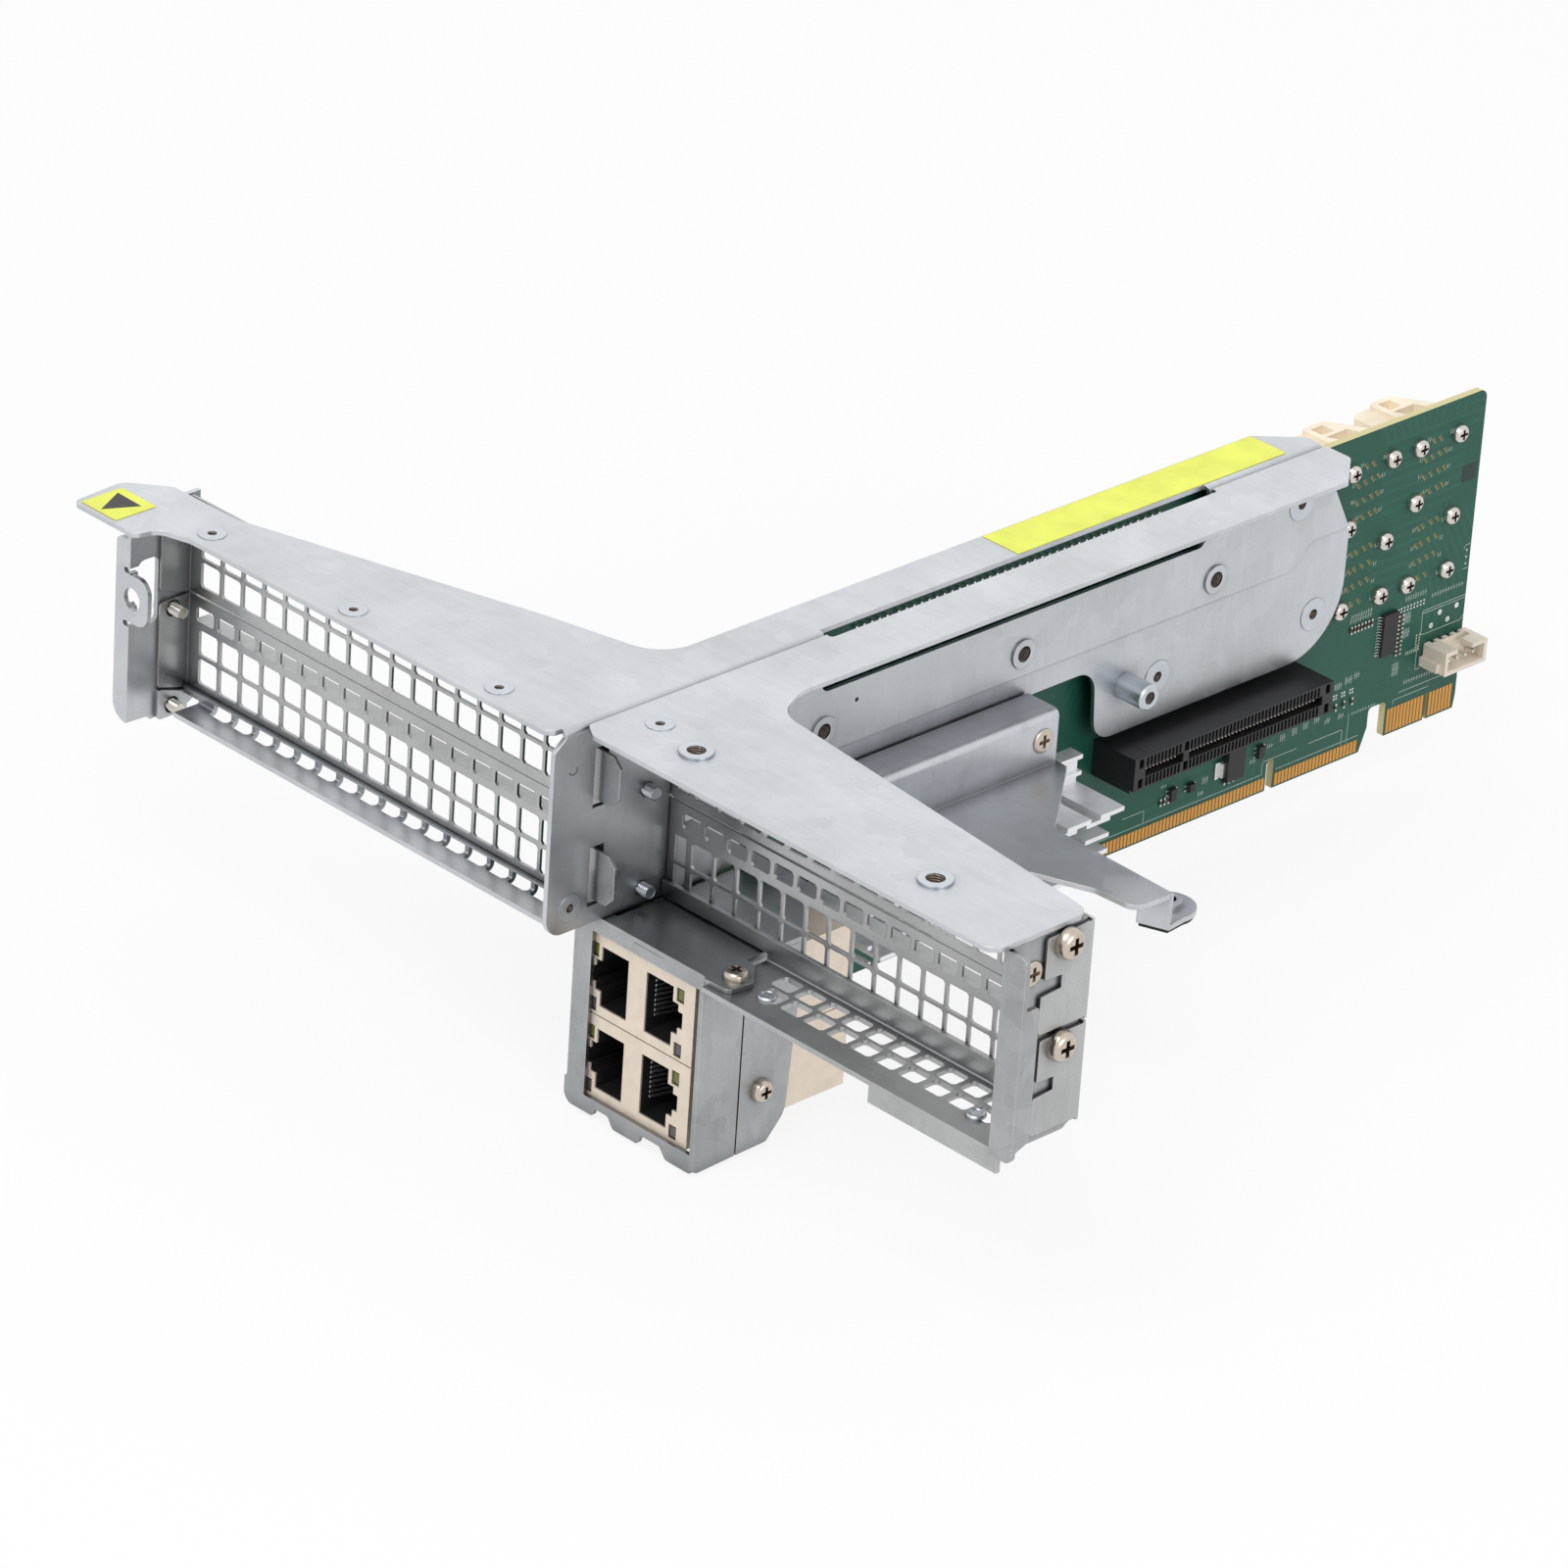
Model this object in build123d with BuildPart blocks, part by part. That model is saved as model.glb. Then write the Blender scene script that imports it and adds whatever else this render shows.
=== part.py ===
from build123d import *
import os

# Ethernet riser card for a rack server: one upright circuit board, a folded steel bracket with two
# wings of perforated slot covers, and a cage around a stack of four network ports.
#
# Frame: X runs across the server, Y from the rear panel into the server, Z up. The origin is the
# middle of the long gold edge of the board, at its bottom and half way through its thickness.
# Sheets are drawn from a datum corner, where the top face, the outer wall face and the front meet.

# Steel sheet
sheet = 1.0
bend = 1.5
fit = 0.2

# Circuit board
board_thick = 1.6
board_gap = 3.5
board_front = 13.5
board_back = 251.3
board_top = 1.6
board_step = 4.2
board_step_y = 199.0
board_foot = 79.4
board_foot_back = 104.0
edge_depth = 76.5
edge_start = 110.6
edge_end = 223.0
edge_key = 196.6
edge_key_width = 2.0
contact_height = 6.1
contact_thick = 0.06
small_edge_depth = 75.1
small_edge_start = 230.0
small_edge_end = 250.8
small_key = 242.3
small_key_width = 0.9
notch_depth = 67.3

# Datum corner of the sheet metal
wall_x = sheet + board_gap + board_thick / 2
front_y = -(edge_start + edge_end) / 2
top_z = edge_depth

# Slots of the two wings
slot_pitch = 20.32
cover_gap = 0.5
cover_plane = 10.5
cover_top = 1.5
hole_pitch = 6.0
hole_width = 5.3
hole_corner = 0.5
vent_width = 5.0
vent_height = 3.1
ledge_reach = 3.2
cover_thick = 0.6

# Main bracket
wing_height = 41.7
wall_front = -3.7
wall_back = 208.6
wall_short = 30.4
wall_lobe_start = 139.6
wall_lobe_depth = 46.5
wall_corner = 15.0
wall_slope = 20.0
cage_wall_back = 44.4
emboss = 0.4
emboss_line = 25.3
tail_width = 11.8
tail_back = 198.2
left_tip = 124.5
left_step = 104.0
tip_front = -11.0
left_front = -4.0
window_start = 63.5
window_end = 166.5
window_depth = 12.3
thread_pitch = 52.7
thread_first = 64.6
thread_depth = 20.4
thread_bore = 3.3
collar_diameter = 6.0
collar_reach = 2.0

# Right bracket
right_length = 105.0
right_front = 1.8
right_depth = 24.5
strip_width = 13.9
strip_back = 198.4

# End brackets and cover tabs
left_end = 117.0
left_drop = 46.4
flange_width = 4.0
lug_reach = 4.6
lug_height = 10.0
lug_hole = 4.6
lug_depth = 19.0
right_end = 103.6
column_width = 5.5
column_drop = 42.2
column_step = 12.0
column_return = 4.2
column_front = 6.0
right_plane = 26.0
tab_depth = 11.6
first_left_screw = 3.6
left_screw_y = 6.5

# Bottom rail of the left wing and tray of the right wing
rail_lip = 6.2
rail_depth = 44.0
tray_depth = 43.9
tray_front = 8.6
tray_start = 28.4
tray_turn = 3.4

# Support arm
arm_ledge = 29.4
arm_ledge_width = 8.5
arm_depth = 40.6
arm_start = 60.0
arm_end = 119.5
arm_reach = 59.0
foot_angle = 22.0
foot_drop = 7.5
foot_length = 7.6
foot_width = 6.6
foot_lobe = 10.8
pad_thick = 0.8

# Port cage and network jacks
cage_top = 41.9
cage_bottom = 83.4
cage_front = 10.4
cage_left = 6.9
cage_right = 27.1
cage_side = 21.0
side_back = 36.0
jack_left = 4.3
jack_right = 24.2
jack_top = 45.6
jack_height = 16.9
jack_gap = 0.25
jack_depth = 40.0
shield_thick = 0.4
port_width = 12.4
port_height = 7.1
port_depth = 14.0
port_first = 0.5
port_drop = 8.75
port_second = 11.4
key_width = 6.4
key_height = 1.5
latch_width = 3.4
latch_height = 1.2
window_width = 2.0
window_height = 2.9

# Card connectors on the board
slot8_length = 56.0
slot8_start = 144.2
slot8_depth = 48.9
slot_height = 6.8
slot_reach = 11.3
slot_mouth = 1.8
slot16_length = 89.0
slot16_start = 72.5
slot16_depth = 6.8
slot16_reach = 9.8

# Cooling
sink_start = 66.0
sink_end = 130.0
sink_top = 49.6
sink_pitch = 3.5
fin_count = 5
fin_thick = 0.9
fin_reach = 14.2
top_fin_reach = 17.6
lip_top = 43.3
lip_plane = 2.5
lip_thick = 2.1
sink_base = 3.0
segment = 6.4
segment_gap = 2.6
chip_side = 22.0
chip_thick = 2.2

# Storage connectors, power header and small hardware
storage_length = 17.4
storage_height = 15.0
storage_reach = 15.0
storage_slope = 5.6
guide_height = 1.0
storage_pitch_y = 19.6
storage_pitch_z = 18.0
storage_first_y = 238.0
storage_first_z = 17.8
board_screw_head = 3.9
header_start = 239.9
header_top = 57.3
header_length = 12.4
header_height = 5.2
header_reach = 6.1
header_wall = 0.9
nut_flange = 5.4
large_nut_flange = 6.8
bush_diameter = 6.4
bush_bore = 3.6
standoff_length = 6.5
standoff_diameter = 5.4
pan_head = 6.0
small_pan_head = 5.0
pan_height = 2.3
flat_head = 5.0
rivet_head = 3.8
label_thick = 0.12

# Planes through the datum corner: local x and y are X and Y on top_plane, Y and Z on wall_plane,
# and X and Z on front_plane
datum = (wall_x, front_y, top_z)
top_plane = Plane(origin=datum, x_dir=(1, 0, 0), z_dir=(0, 0, 1))
wall_plane = Plane(origin=datum, x_dir=(0, 1, 0), z_dir=(1, 0, 0))
front_plane = Plane(origin=datum, x_dir=(1, 0, 0), z_dir=(0, -1, 0))

# Faces of the circuit board, measured from the wall
board_face = -(sheet + board_gap)
board_rear = board_face - board_thick


def at_x(x):
    """Plane facing +X at distance x from the outer wall face."""
    return wall_plane.offset(x)


def at_y(y):
    """Plane facing -Y at distance y behind the front."""
    return front_plane.offset(-y)


def at_z(z):
    """Plane facing up at height z, which is negative below the top face."""
    return top_plane.offset(z)


def outline(corners, mode=Mode.ADD):
    """Closed face through corners, each given as (x, y, corner radius)."""
    points = [(x, y) for x, y, radius in corners]
    with BuildLine() as border:
        FilletPolyline(points, radius=[radius for x, y, radius in corners], close=True)
    make_face(border.edges(), mode=mode)


def rectangle(x0, x1, y0, y1, radius=0.0, mode=Mode.ADD):
    """Rectangle from x0 to x1 and from y0 to y1."""
    with Locations(((x0 + x1) / 2, (y0 + y1) / 2)):
        if radius > 0:
            RectangleRounded(x1 - x0, y1 - y0, radius, mode=mode)
        else:
            Rectangle(x1 - x0, y1 - y0, mode=mode)


def save(part, name):
    """Label a finished piece and write it."""
    part.label = name
    export_step(part, f"parts/{name}.step")


os.makedirs("parts", exist_ok=True)

# The rail of the left wing starts just above the foot of the lower cover
rail_top = cover_top + 2 * slot_pitch - 1.0

# Main bracket: the left wing and the tail are one plate, which turns down into the wall
left_outline = [
    (-bend, left_front + 1.5, 0),
    (-3.0, left_front, 1.0),
    (-(left_step - 4.0), left_front, 6),
    (-(left_step + 2.6), left_front - 2.0, 3),
    (-(left_step + 4.0), tip_front, 1.5),
    (-(left_tip + 1.0), tip_front, 1.5),
    (-(left_tip + 2.0), tip_front + 12.5, 3),
    (-(left_tip - 5.5), -left_front + 4.0, 2),
    (-(left_step - 3.0), -left_front + 4.4, 6),
    (-36.0, 27.7, 25),
    (-tail_width, 33.5, 9),
    (-tail_width, tail_back - 8.4, 2),
    (-4.6, tail_back, 2),
    (-bend, tail_back, 0),
]
wall_outline = [
    (-sheet, -bend, 0),
    (wall_front, wall_front, 1),
    (wall_front, -wing_height, 4),
    (cage_wall_back, -wing_height, 2),
    (cage_wall_back + 2.0, -wall_short, 3),
    (wall_lobe_start - 1.2, -wall_short, 5),
    (wall_lobe_start, -wall_lobe_depth, 5),
    (wall_back, -wall_lobe_depth, wall_corner),
    (wall_back, -bend - wall_slope, 2.5),
    (tail_back, -bend, 0),
]
with BuildPart() as main_bracket:
    with BuildSketch(top_plane):
        outline(left_outline)
    extrude(amount=-sheet)
    with BuildSketch(wall_plane):
        outline(wall_outline)
    extrude(amount=-sheet)
    with BuildSketch(at_y(-sheet)):
        rectangle(-bend, 0, -bend, 0)
        with Locations((-bend, -bend)):
            Circle(bend, mode=Mode.INTERSECT)
            Circle(bend - sheet, mode=Mode.SUBTRACT)
    extrude(amount=-(tail_back + sheet))
    # Light passes over and under the strip of the right bracket, to the solder pins of the card slot
    with BuildSketch(at_x(sheet)):
        rectangle(window_start, window_end, -window_depth, sheet, 2.0)
    extrude(amount=-(2 * sheet + 0.9), mode=Mode.SUBTRACT)
    # The lower part of the wall stands back by the emboss
    emboss_region = [
        (40.0, -emboss_line, 0),
        (192.5, -emboss_line, 4),
        (197.5, -emboss_line + 5.0, 4),
        (wall_back + 1, -emboss_line + 5.0, 0),
        (wall_back + 1, -wall_lobe_depth - 1, 0),
        (40.0, -wall_lobe_depth - 1, 0),
    ]
    with BuildSketch(wall_plane):
        outline(wall_outline)
        outline(emboss_region, mode=Mode.INTERSECT)
    extrude(amount=-emboss, mode=Mode.SUBTRACT)
    with BuildSketch(at_x(-sheet)):
        outline(wall_outline)
        outline(emboss_region, mode=Mode.INTERSECT)
    extrude(amount=-emboss)
    # Drawn threaded collars, whose rims stand a little proud of the outer face
    thread_places = [(thread_first + i * thread_pitch, -thread_depth) for i in range(3)]
    with BuildSketch(at_x(0.4)):
        with Locations(thread_places):
            Circle(collar_diameter / 2)
    extrude(amount=-(0.4 + sheet + collar_reach))
    with BuildSketch(at_x(0.4)):
        with Locations(thread_places):
            Circle(thread_bore / 2)
    extrude(amount=-(0.4 + sheet + collar_reach), mode=Mode.SUBTRACT)
    # Slots for the tongues of the left covers
    with BuildSketch(at_x(sheet)):
        for i in range(2):
            middle = -(cover_top + slot_pitch / 2 + i * slot_pitch)
            rectangle(6.4, 9.8, middle - 6.2, middle + 6.0)
    extrude(amount=-3 * sheet, mode=Mode.SUBTRACT)
    # Holes of the nuts, the standoff and the cover screws
    wall_nuts = [(2.0, -rail_top + 4.24), (156.2, -37.4), (200.2, -37.2), (193.4, -11.2)]
    standoff_place = (147.0, -36.4)
    wall_screws = [(19.9, -18.2), (19.9, -18.2 - slot_pitch)]
    with BuildSketch(at_x(sheet)):
        with Locations(wall_nuts, standoff_place):
            Circle(1.6)
        with Locations(wall_screws):
            Circle(1.5)
    extrude(amount=-3 * sheet, mode=Mode.SUBTRACT)
    plate_nuts = [(-99.4, 0.7), (-59.7, 0.7), (-20.2, 0.9)]
    with BuildSketch(at_z(sheet)):
        with Locations(plate_nuts):
            Circle(1.6)
    extrude(amount=-3 * sheet, mode=Mode.SUBTRACT)
save(main_bracket.part, "main_bracket")

# Right bracket: the right wing's plate and the long strip beside the wall
bush_places = [(19.9, 12.0), (80.5, 12.0)]
right_nut = (7.9, 14.4)
strip_left = 0.3
window_edge = 1.7
with BuildPart() as right_bracket:
    with BuildSketch(top_plane):
        outline([
            (strip_left, right_front + 2.2, 1.5),
            (strip_left + 3.4, right_front, 1.5),
            (right_length, right_front, 3.2),
            (right_length, right_front + right_depth - 0.8, 3),
            (58.6, 30.6, 40),
            (strip_width + 4.2, 35.0, 7),
            (strip_width, 44.0, 8),
            (strip_width, strip_back - 8.2, 1.5),
            (strip_width - 7.0, strip_back, 2),
            (strip_left, strip_back, 0),
            (strip_left, window_end, 0),
            (window_edge, window_end, 0.8),
            (window_edge, window_start, 0.8),
            (strip_left, window_start, 0),
        ])
        with Locations(bush_places):
            Circle(bush_diameter / 2, mode=Mode.SUBTRACT)
        with Locations(right_nut):
            Circle(1.6, mode=Mode.SUBTRACT)
    extrude(amount=-sheet)
save(right_bracket.part, "right_bracket")

# Threaded bushes pressed into the right bracket
bush_length = 4.0
with BuildPart() as threaded_bushes:
    with BuildSketch(at_z(0.5)):
        with Locations(bush_places):
            Circle(bush_diameter / 2)
            Circle(bush_bore / 2, mode=Mode.SUBTRACT)
    extrude(amount=-bush_length)
save(threaded_bushes.part, "threaded_bushes")

# Perforated slot covers. A cover is drawn in the plane y, from x0 to x1 and from its top edge z down.
cover_height = slot_pitch - cover_gap


def pierced(width, height):
    """Hole with cut corners, to be repeated by perforations."""
    with BuildSketch() as hole:
        Rectangle(width, height)
        chamfer(hole.vertices(), hole_corner)
    return hole.sketch


square_hole = pierced(hole_width, hole_width)
vent = pierced(vent_width, vent_height)


def perforations(middle, count, z, rows, vent_row, vent_shift):
    """Cut rows of square holes and one row of low vents, centred on middle, at depths below z."""
    for depth in rows:
        with Locations((middle, z - depth)):
            with GridLocations(hole_pitch, hole_pitch, count, 1):
                add(square_hole, mode=Mode.SUBTRACT)
    if vent_row:
        with Locations((middle + vent_shift, z - vent_row)):
            with GridLocations(hole_pitch, hole_pitch, count, 1):
                add(vent, mode=Mode.SUBTRACT)


def ledge(x0, x1, y, z, vent_row):
    """Ledge behind the row of vents of the cover whose face is at y and whose top is at z."""
    with BuildSketch(at_z(z - vent_row - vent_height / 2)) as strip:
        rectangle(x0, x1, y, y + cover_thick + ledge_reach)
    extrude(strip.sketch, amount=-cover_thick)


tongue_half = 5.1
tongue_plane = 7.6
tongue_reach = 5.4
left_columns = 17
left_row_middle = -62.6
left_rows = {"upper_left_cover": ([3.3, 9.3, 15.3], 0), "lower_left_cover": ([9.3, 15.3], 3.6)}
for index, (name, (rows, vent_row)) in enumerate(left_rows.items()):
    cover_z = -(cover_top + index * slot_pitch)
    middle_z = cover_z - cover_height / 2
    with BuildPart() as left_cover:
        with BuildSketch(at_y(cover_plane)):
            rectangle(-left_end, -(sheet + fit), cover_z - cover_height, cover_z)
            perforations(left_row_middle, left_columns, cover_z, rows, vent_row, -1.1)
        extrude(amount=-cover_thick)
        if vent_row:
            ledge(-left_end + 2, -8.0, cover_plane, cover_z, vent_row)
    # Tongue, set forward of the cover and pushed through the wall
        with BuildSketch(at_z(middle_z + tongue_half)):
            outline([
                (-6.0, cover_plane, 0),
                (-3.6, tongue_plane, 0.6),
                (tongue_reach, tongue_plane, 0),
                (tongue_reach, tongue_plane + cover_thick, 0),
                (-3.2, tongue_plane + cover_thick, 0.4),
                (-5.2, cover_plane + cover_thick, 0),
                (-6.0, cover_plane + cover_thick, 0),
            ])
        extrude(amount=-2 * tongue_half)
        chamfer(
            left_cover.edges()
            .filter_by(Axis.Y)
            .filter_by(lambda e: e.center().X > wall_x + tongue_reach - 0.1),
            2.0,
        )
        # Tab along the end bracket, its lower edge rising to the front
        tab_bottom = cover_z - cover_height
        with BuildSketch(at_x(-left_end)):
            outline([
                (3.2, cover_z - 0.2, 1),
                (cover_plane + cover_thick, cover_z, 0),
                (cover_plane + cover_thick, tab_bottom, 0),
                (cover_plane - 1.0, tab_bottom, 0),
                (3.2, tab_bottom + 1.8, 1),
            ])
            with Locations((left_screw_y, -(first_left_screw + index * slot_pitch))):
                Circle(1.7, mode=Mode.SUBTRACT)
        extrude(amount=cover_thick)
    save(left_cover.part, name)

# Left end bracket: a wall with an outward flange, whose lug stands in line with a fixing hole
left_screw_depths = [first_left_screw + i * slot_pitch for i in range(3)]
lug_x = -(left_end - 0.7)
lug_slot = 1.1
with BuildPart() as left_end_bracket:
    with BuildSketch(at_x(-left_end)):
        outline([
            (left_front, -7.0, 0),
            (left_front + 1.6, -sheet - 0.2, 2),
            (cover_plane + 2.5, -sheet - 0.2, 0),
            (cover_plane + 2.5, -left_drop + 0.8, 2),
            (left_front + 6.0, -left_drop, 0),
            (left_front + 5.2, -left_drop + 0.8, 0),
            (left_front, -left_drop + 1.0, 0),
        ])
        rectangle(left_front + 2.0, 3.0, -lug_depth - 7.0, -lug_depth + 7.0, 1.6, mode=Mode.SUBTRACT)
        with Locations([(left_screw_y, -depth) for depth in left_screw_depths]):
            Circle(1.7, mode=Mode.SUBTRACT)
    extrude(amount=-sheet)
    with BuildSketch(at_y(left_front)):
        outline([
            (-left_end, -7.0, 0),
            (-left_end - flange_width, -7.0, 1.5),
            (-left_end - flange_width, -left_drop + 1.0, 3.8),
            (-left_end, -left_drop + 1.0, 0),
        ])
    extrude(amount=-sheet)
    # Lug, cut free of the wall and left in line with the flange, with relief slots over and under it
    with BuildSketch(at_y(left_front)):
        lug_half = lug_height / 2
        rectangle(-left_end - 2.0, lug_x + lug_reach, -lug_depth - lug_half, -lug_depth + lug_half, 3.0)
    extrude(amount=-sheet)
    with BuildSketch(at_y(left_front - 0.1)):
        with Locations((lug_x, -lug_depth)):
            Circle(lug_hole / 2)
        for side in (-1, 1):
            with Locations((-left_end - 0.3, -lug_depth + side * (lug_height + lug_slot) / 2)):
                SlotOverall(2.8, lug_slot)
    extrude(amount=-(sheet + 1.4), mode=Mode.SUBTRACT)
save(left_end_bracket.part, "left_end_bracket")

# Bottom rail of the left wing: a strip in front of the lower cover, a slotted bend and a lip
rail_plane = cover_plane - sheet - fit
rail_hole = pierced(vent_width, 3.4)
with BuildPart() as left_bottom_rail:
    with BuildSketch(at_x(-(sheet + 6.0))):
        outline([
            (rail_plane, -rail_top, 0),
            (rail_plane + sheet, -rail_top, 0),
            (rail_plane + sheet, -rail_depth, bend),
            (rail_plane - rail_lip, -rail_depth, 0),
            (rail_plane - rail_lip, -rail_depth + sheet, 0),
            (rail_plane, -rail_depth + sheet, bend / 3),
        ])
    extrude(amount=-(left_end - 12.6))
    with BuildSketch(at_y(rail_plane)):
        rectangle(-left_end + cover_thick + 0.1, -sheet - 0.1, -rail_depth + bend, -rail_top)
    extrude(amount=-sheet)
    # Slots at the bend
    with BuildSketch(at_z(-rail_depth - sheet)):
        with Locations((-(left_end + 2.0) / 2, rail_plane + 0.2)):
            with GridLocations(hole_pitch, 1, 16, 1):
                add(rail_hole)
    extrude(amount=2 * sheet + bend, mode=Mode.SUBTRACT)
    # Tab for the screw at the left end, and tab for the nut on the wall
    with BuildSketch(at_x(-left_end)):
        outline([
            (3.0, -rail_top + 1.0, 0.8),
            (rail_plane, -rail_top - 0.9, 0),
            (rail_plane + sheet, -rail_top - 0.9, 0),
            (rail_plane + sheet, -rail_depth - 2.6, 0.8),
            (3.0, -rail_depth - 2.6, 0.8),
        ])
        with Locations((left_screw_y, -left_screw_depths[2])):
            Circle(1.7, mode=Mode.SUBTRACT)
    extrude(amount=sheet)
    with BuildSketch(at_x(-sheet - 0.1)):
        outline([
            (-2.6, -rail_top + 9.1, 1.5),
            (5.8, -rail_top + 9.1, 1),
            (5.8, -rail_top + 2.3, 0.5),
            (rail_plane + sheet, -rail_top + 2.3, 0),
            (rail_plane + sheet, -rail_top - 0.2, 0),
            (-2.6, -rail_top - 0.2, 2.5),
        ])
        with Locations(wall_nuts[0]):
            Circle(1.6, mode=Mode.SUBTRACT)
    extrude(amount=-sheet)
save(left_bottom_rail.part, "left_bottom_rail")

# Right end bracket: a wall and a column folded along its front, whose lower part turns back again
right_screw_y = 20.0
right_screw_depths = [cover_top + 2.6 + i * slot_pitch for i in range(2)]
flat_screw_place = (12.5, -8.2)
bracket_top = sheet + 0.3
with BuildPart() as right_end_bracket:
    with BuildSketch(at_x(right_end)):
        outline([
            (column_front, -bracket_top, 0),
            (right_plane - 0.5, -bracket_top, 0),
            (right_plane - 0.5, -column_drop, 1.5),
            (column_front, -column_drop, 0),
        ])
        with Locations([(right_screw_y, -depth) for depth in right_screw_depths], flat_screw_place):
            Circle(1.6, mode=Mode.SUBTRACT)
    extrude(amount=sheet)
    with BuildSketch(at_y(column_front)):
        outline([
            (right_end, -bracket_top, 0.6),
            (right_end + column_width, -bracket_top - 0.4, 1.2),
            (right_end + column_width, -column_drop, 1.6),
            (right_end, -column_drop, 1.2),
        ])
    extrude(amount=-sheet)
    with BuildSketch(at_x(right_end + column_width)):
        outline([
            (column_front, -column_step, 0),
            (column_front + column_return, -column_step, 0.8),
            (column_front + column_return, -column_drop + 3.4, 0.8),
            (column_front, -column_drop + 1.8, 0),
        ])
    extrude(amount=-sheet)
save(right_end_bracket.part, "right_end_bracket")

# Right slot covers, whose tabs wrap round the end bracket
tab_face = right_end + sheet + 0.1
tab_front = right_plane - tab_depth
right_columns = 16
right_row_middle = 54.0
narrow_column = (3.4, 2.9)
for index, name in enumerate(["upper_right_cover", "lower_right_cover"]):
    cover_z = -(cover_top + index * slot_pitch)
    tab_z = cover_z - 0.4
    rows = [9.4, 15.4]
    with BuildPart() as right_cover:
        with BuildSketch(at_y(right_plane)):
            rectangle(0.3, tab_face + cover_thick, cover_z - cover_height, cover_z)
            perforations(right_row_middle, right_columns, cover_z, rows, 3.3, -hole_pitch / 2)
            for depth in rows:
                with Locations((narrow_column[0], cover_z - depth)):
                    Rectangle(narrow_column[1], hole_width, mode=Mode.SUBTRACT)
        extrude(amount=-cover_thick)
        ledge(2.0, right_end - 2.0, right_plane, cover_z, 3.3)
        # Tab round the end bracket, with a notch in its front edge
        with BuildSketch(at_x(tab_face)):
            outline([
                (right_plane + cover_thick, tab_z, 0),
                (tab_front + 0.7, tab_z, 0.8),
                (tab_front + 0.7, tab_z - 8.2, 0),
                (tab_front + 5.0, tab_z - 8.4, 0),
                (tab_front + 5.0, tab_z - 11.0, 0),
                (tab_front, tab_z - 11.4, 0.6),
                (tab_front, cover_z - cover_height + 0.4, 1.0),
                (right_plane + cover_thick, cover_z - cover_height + 0.4, 0),
            ])
            with Locations((right_screw_y, -right_screw_depths[index])):
                Circle(1.7, mode=Mode.SUBTRACT)
        extrude(amount=cover_thick)
    save(right_cover.part, name)

# Tray of the right wing: a low upright band, a perforated floor and a turned front edge
tray_top = tray_depth - sheet
tray_hole = pierced(hole_width - 0.4, 4.2)
with BuildPart() as right_tray:
    with BuildSketch(at_x(tray_start)):
        outline([
            (right_plane - 0.1, -tray_top + 4.6, 0),
            (right_plane - 0.1, -tray_depth, bend),
            (tray_front, -tray_depth, 0),
            (tray_front, -tray_top, 0),
            (right_plane - 0.1 - sheet, -tray_top, bend / 3),
            (right_plane - 0.1 - sheet, -tray_top + 4.6, 0),
        ])
    extrude(amount=right_end - tray_start - 0.2)
    with BuildSketch(at_y(right_plane - 0.1)):
        rectangle(0.2, tray_start + 1, -cover_top - 2 * slot_pitch + 0.6, -tray_top + 4.6)
    extrude(amount=sheet)
    with BuildSketch(at_x(right_end - 0.2)):
        outline([
            (tray_front, -tray_top, bend / 2),
            (tray_front, -tray_depth - tray_turn, 0),
            (tray_front + sheet, -tray_depth - tray_turn, 0),
            (tray_front + sheet, -tray_top, 0),
        ])
    extrude(amount=-32.0)
    with BuildSketch(at_z(-tray_top + sheet)):
        for row in range(2):
            with Locations(((tray_start + right_end) / 2 + 1.4 + 1.5 * row, right_plane - 4.6 - 5.0 * row)):
                with GridLocations(hole_pitch, 1, 11, 1):
                    add(tray_hole)
    extrude(amount=-3 * sheet, mode=Mode.SUBTRACT)
save(right_tray.part, "right_tray")

# Support arm: a ledge on the wall, an upright face, and an arm that ends in a foot
arm_outline = [
    (arm_ledge_width - sheet, arm_start, 0),
    (arm_ledge_width - sheet, arm_end + 0.5, 0),
    (arm_ledge_width + 2.6, arm_end + 0.5, 1.5),
    (27.5, 100.0, 3),
    (arm_reach, 99.3, 0.6),
    (arm_reach - 0.4, 89.6, 3),
    (48.8, 89.0, 6),
    (36.0, 83.8, 4),
    (30.0, arm_start, 0),
]
# The foot hangs from the arm's far corner and is turned against the arm
foot_frame = Plane(
    origin=at_z(-arm_depth).from_local_coords((arm_reach + 0.2, 98.6, 0)),
    x_dir=(1, 0, 0),
    z_dir=(0, 0, 1),
).rotated((0, 0, foot_angle))
foot_middle = (-foot_width / 2, foot_length)
arm_screw = (115.5, -34.9)


def foot_shape(margin):
    """Tab of the foot, drawn on a plane parallel to foot_frame and smaller by margin all round."""
    half = foot_width / 2
    outline([
        (foot_middle[0] - half + margin, margin, 0),
        (foot_middle[0] + half - margin, margin, 0),
        (foot_middle[0] + foot_lobe / 2 - margin, foot_length, 0),
        (foot_middle[0] - foot_lobe / 2 + margin, foot_length, 0),
    ])
    with Locations(foot_middle):
        Circle(foot_lobe / 2 - margin)


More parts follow.
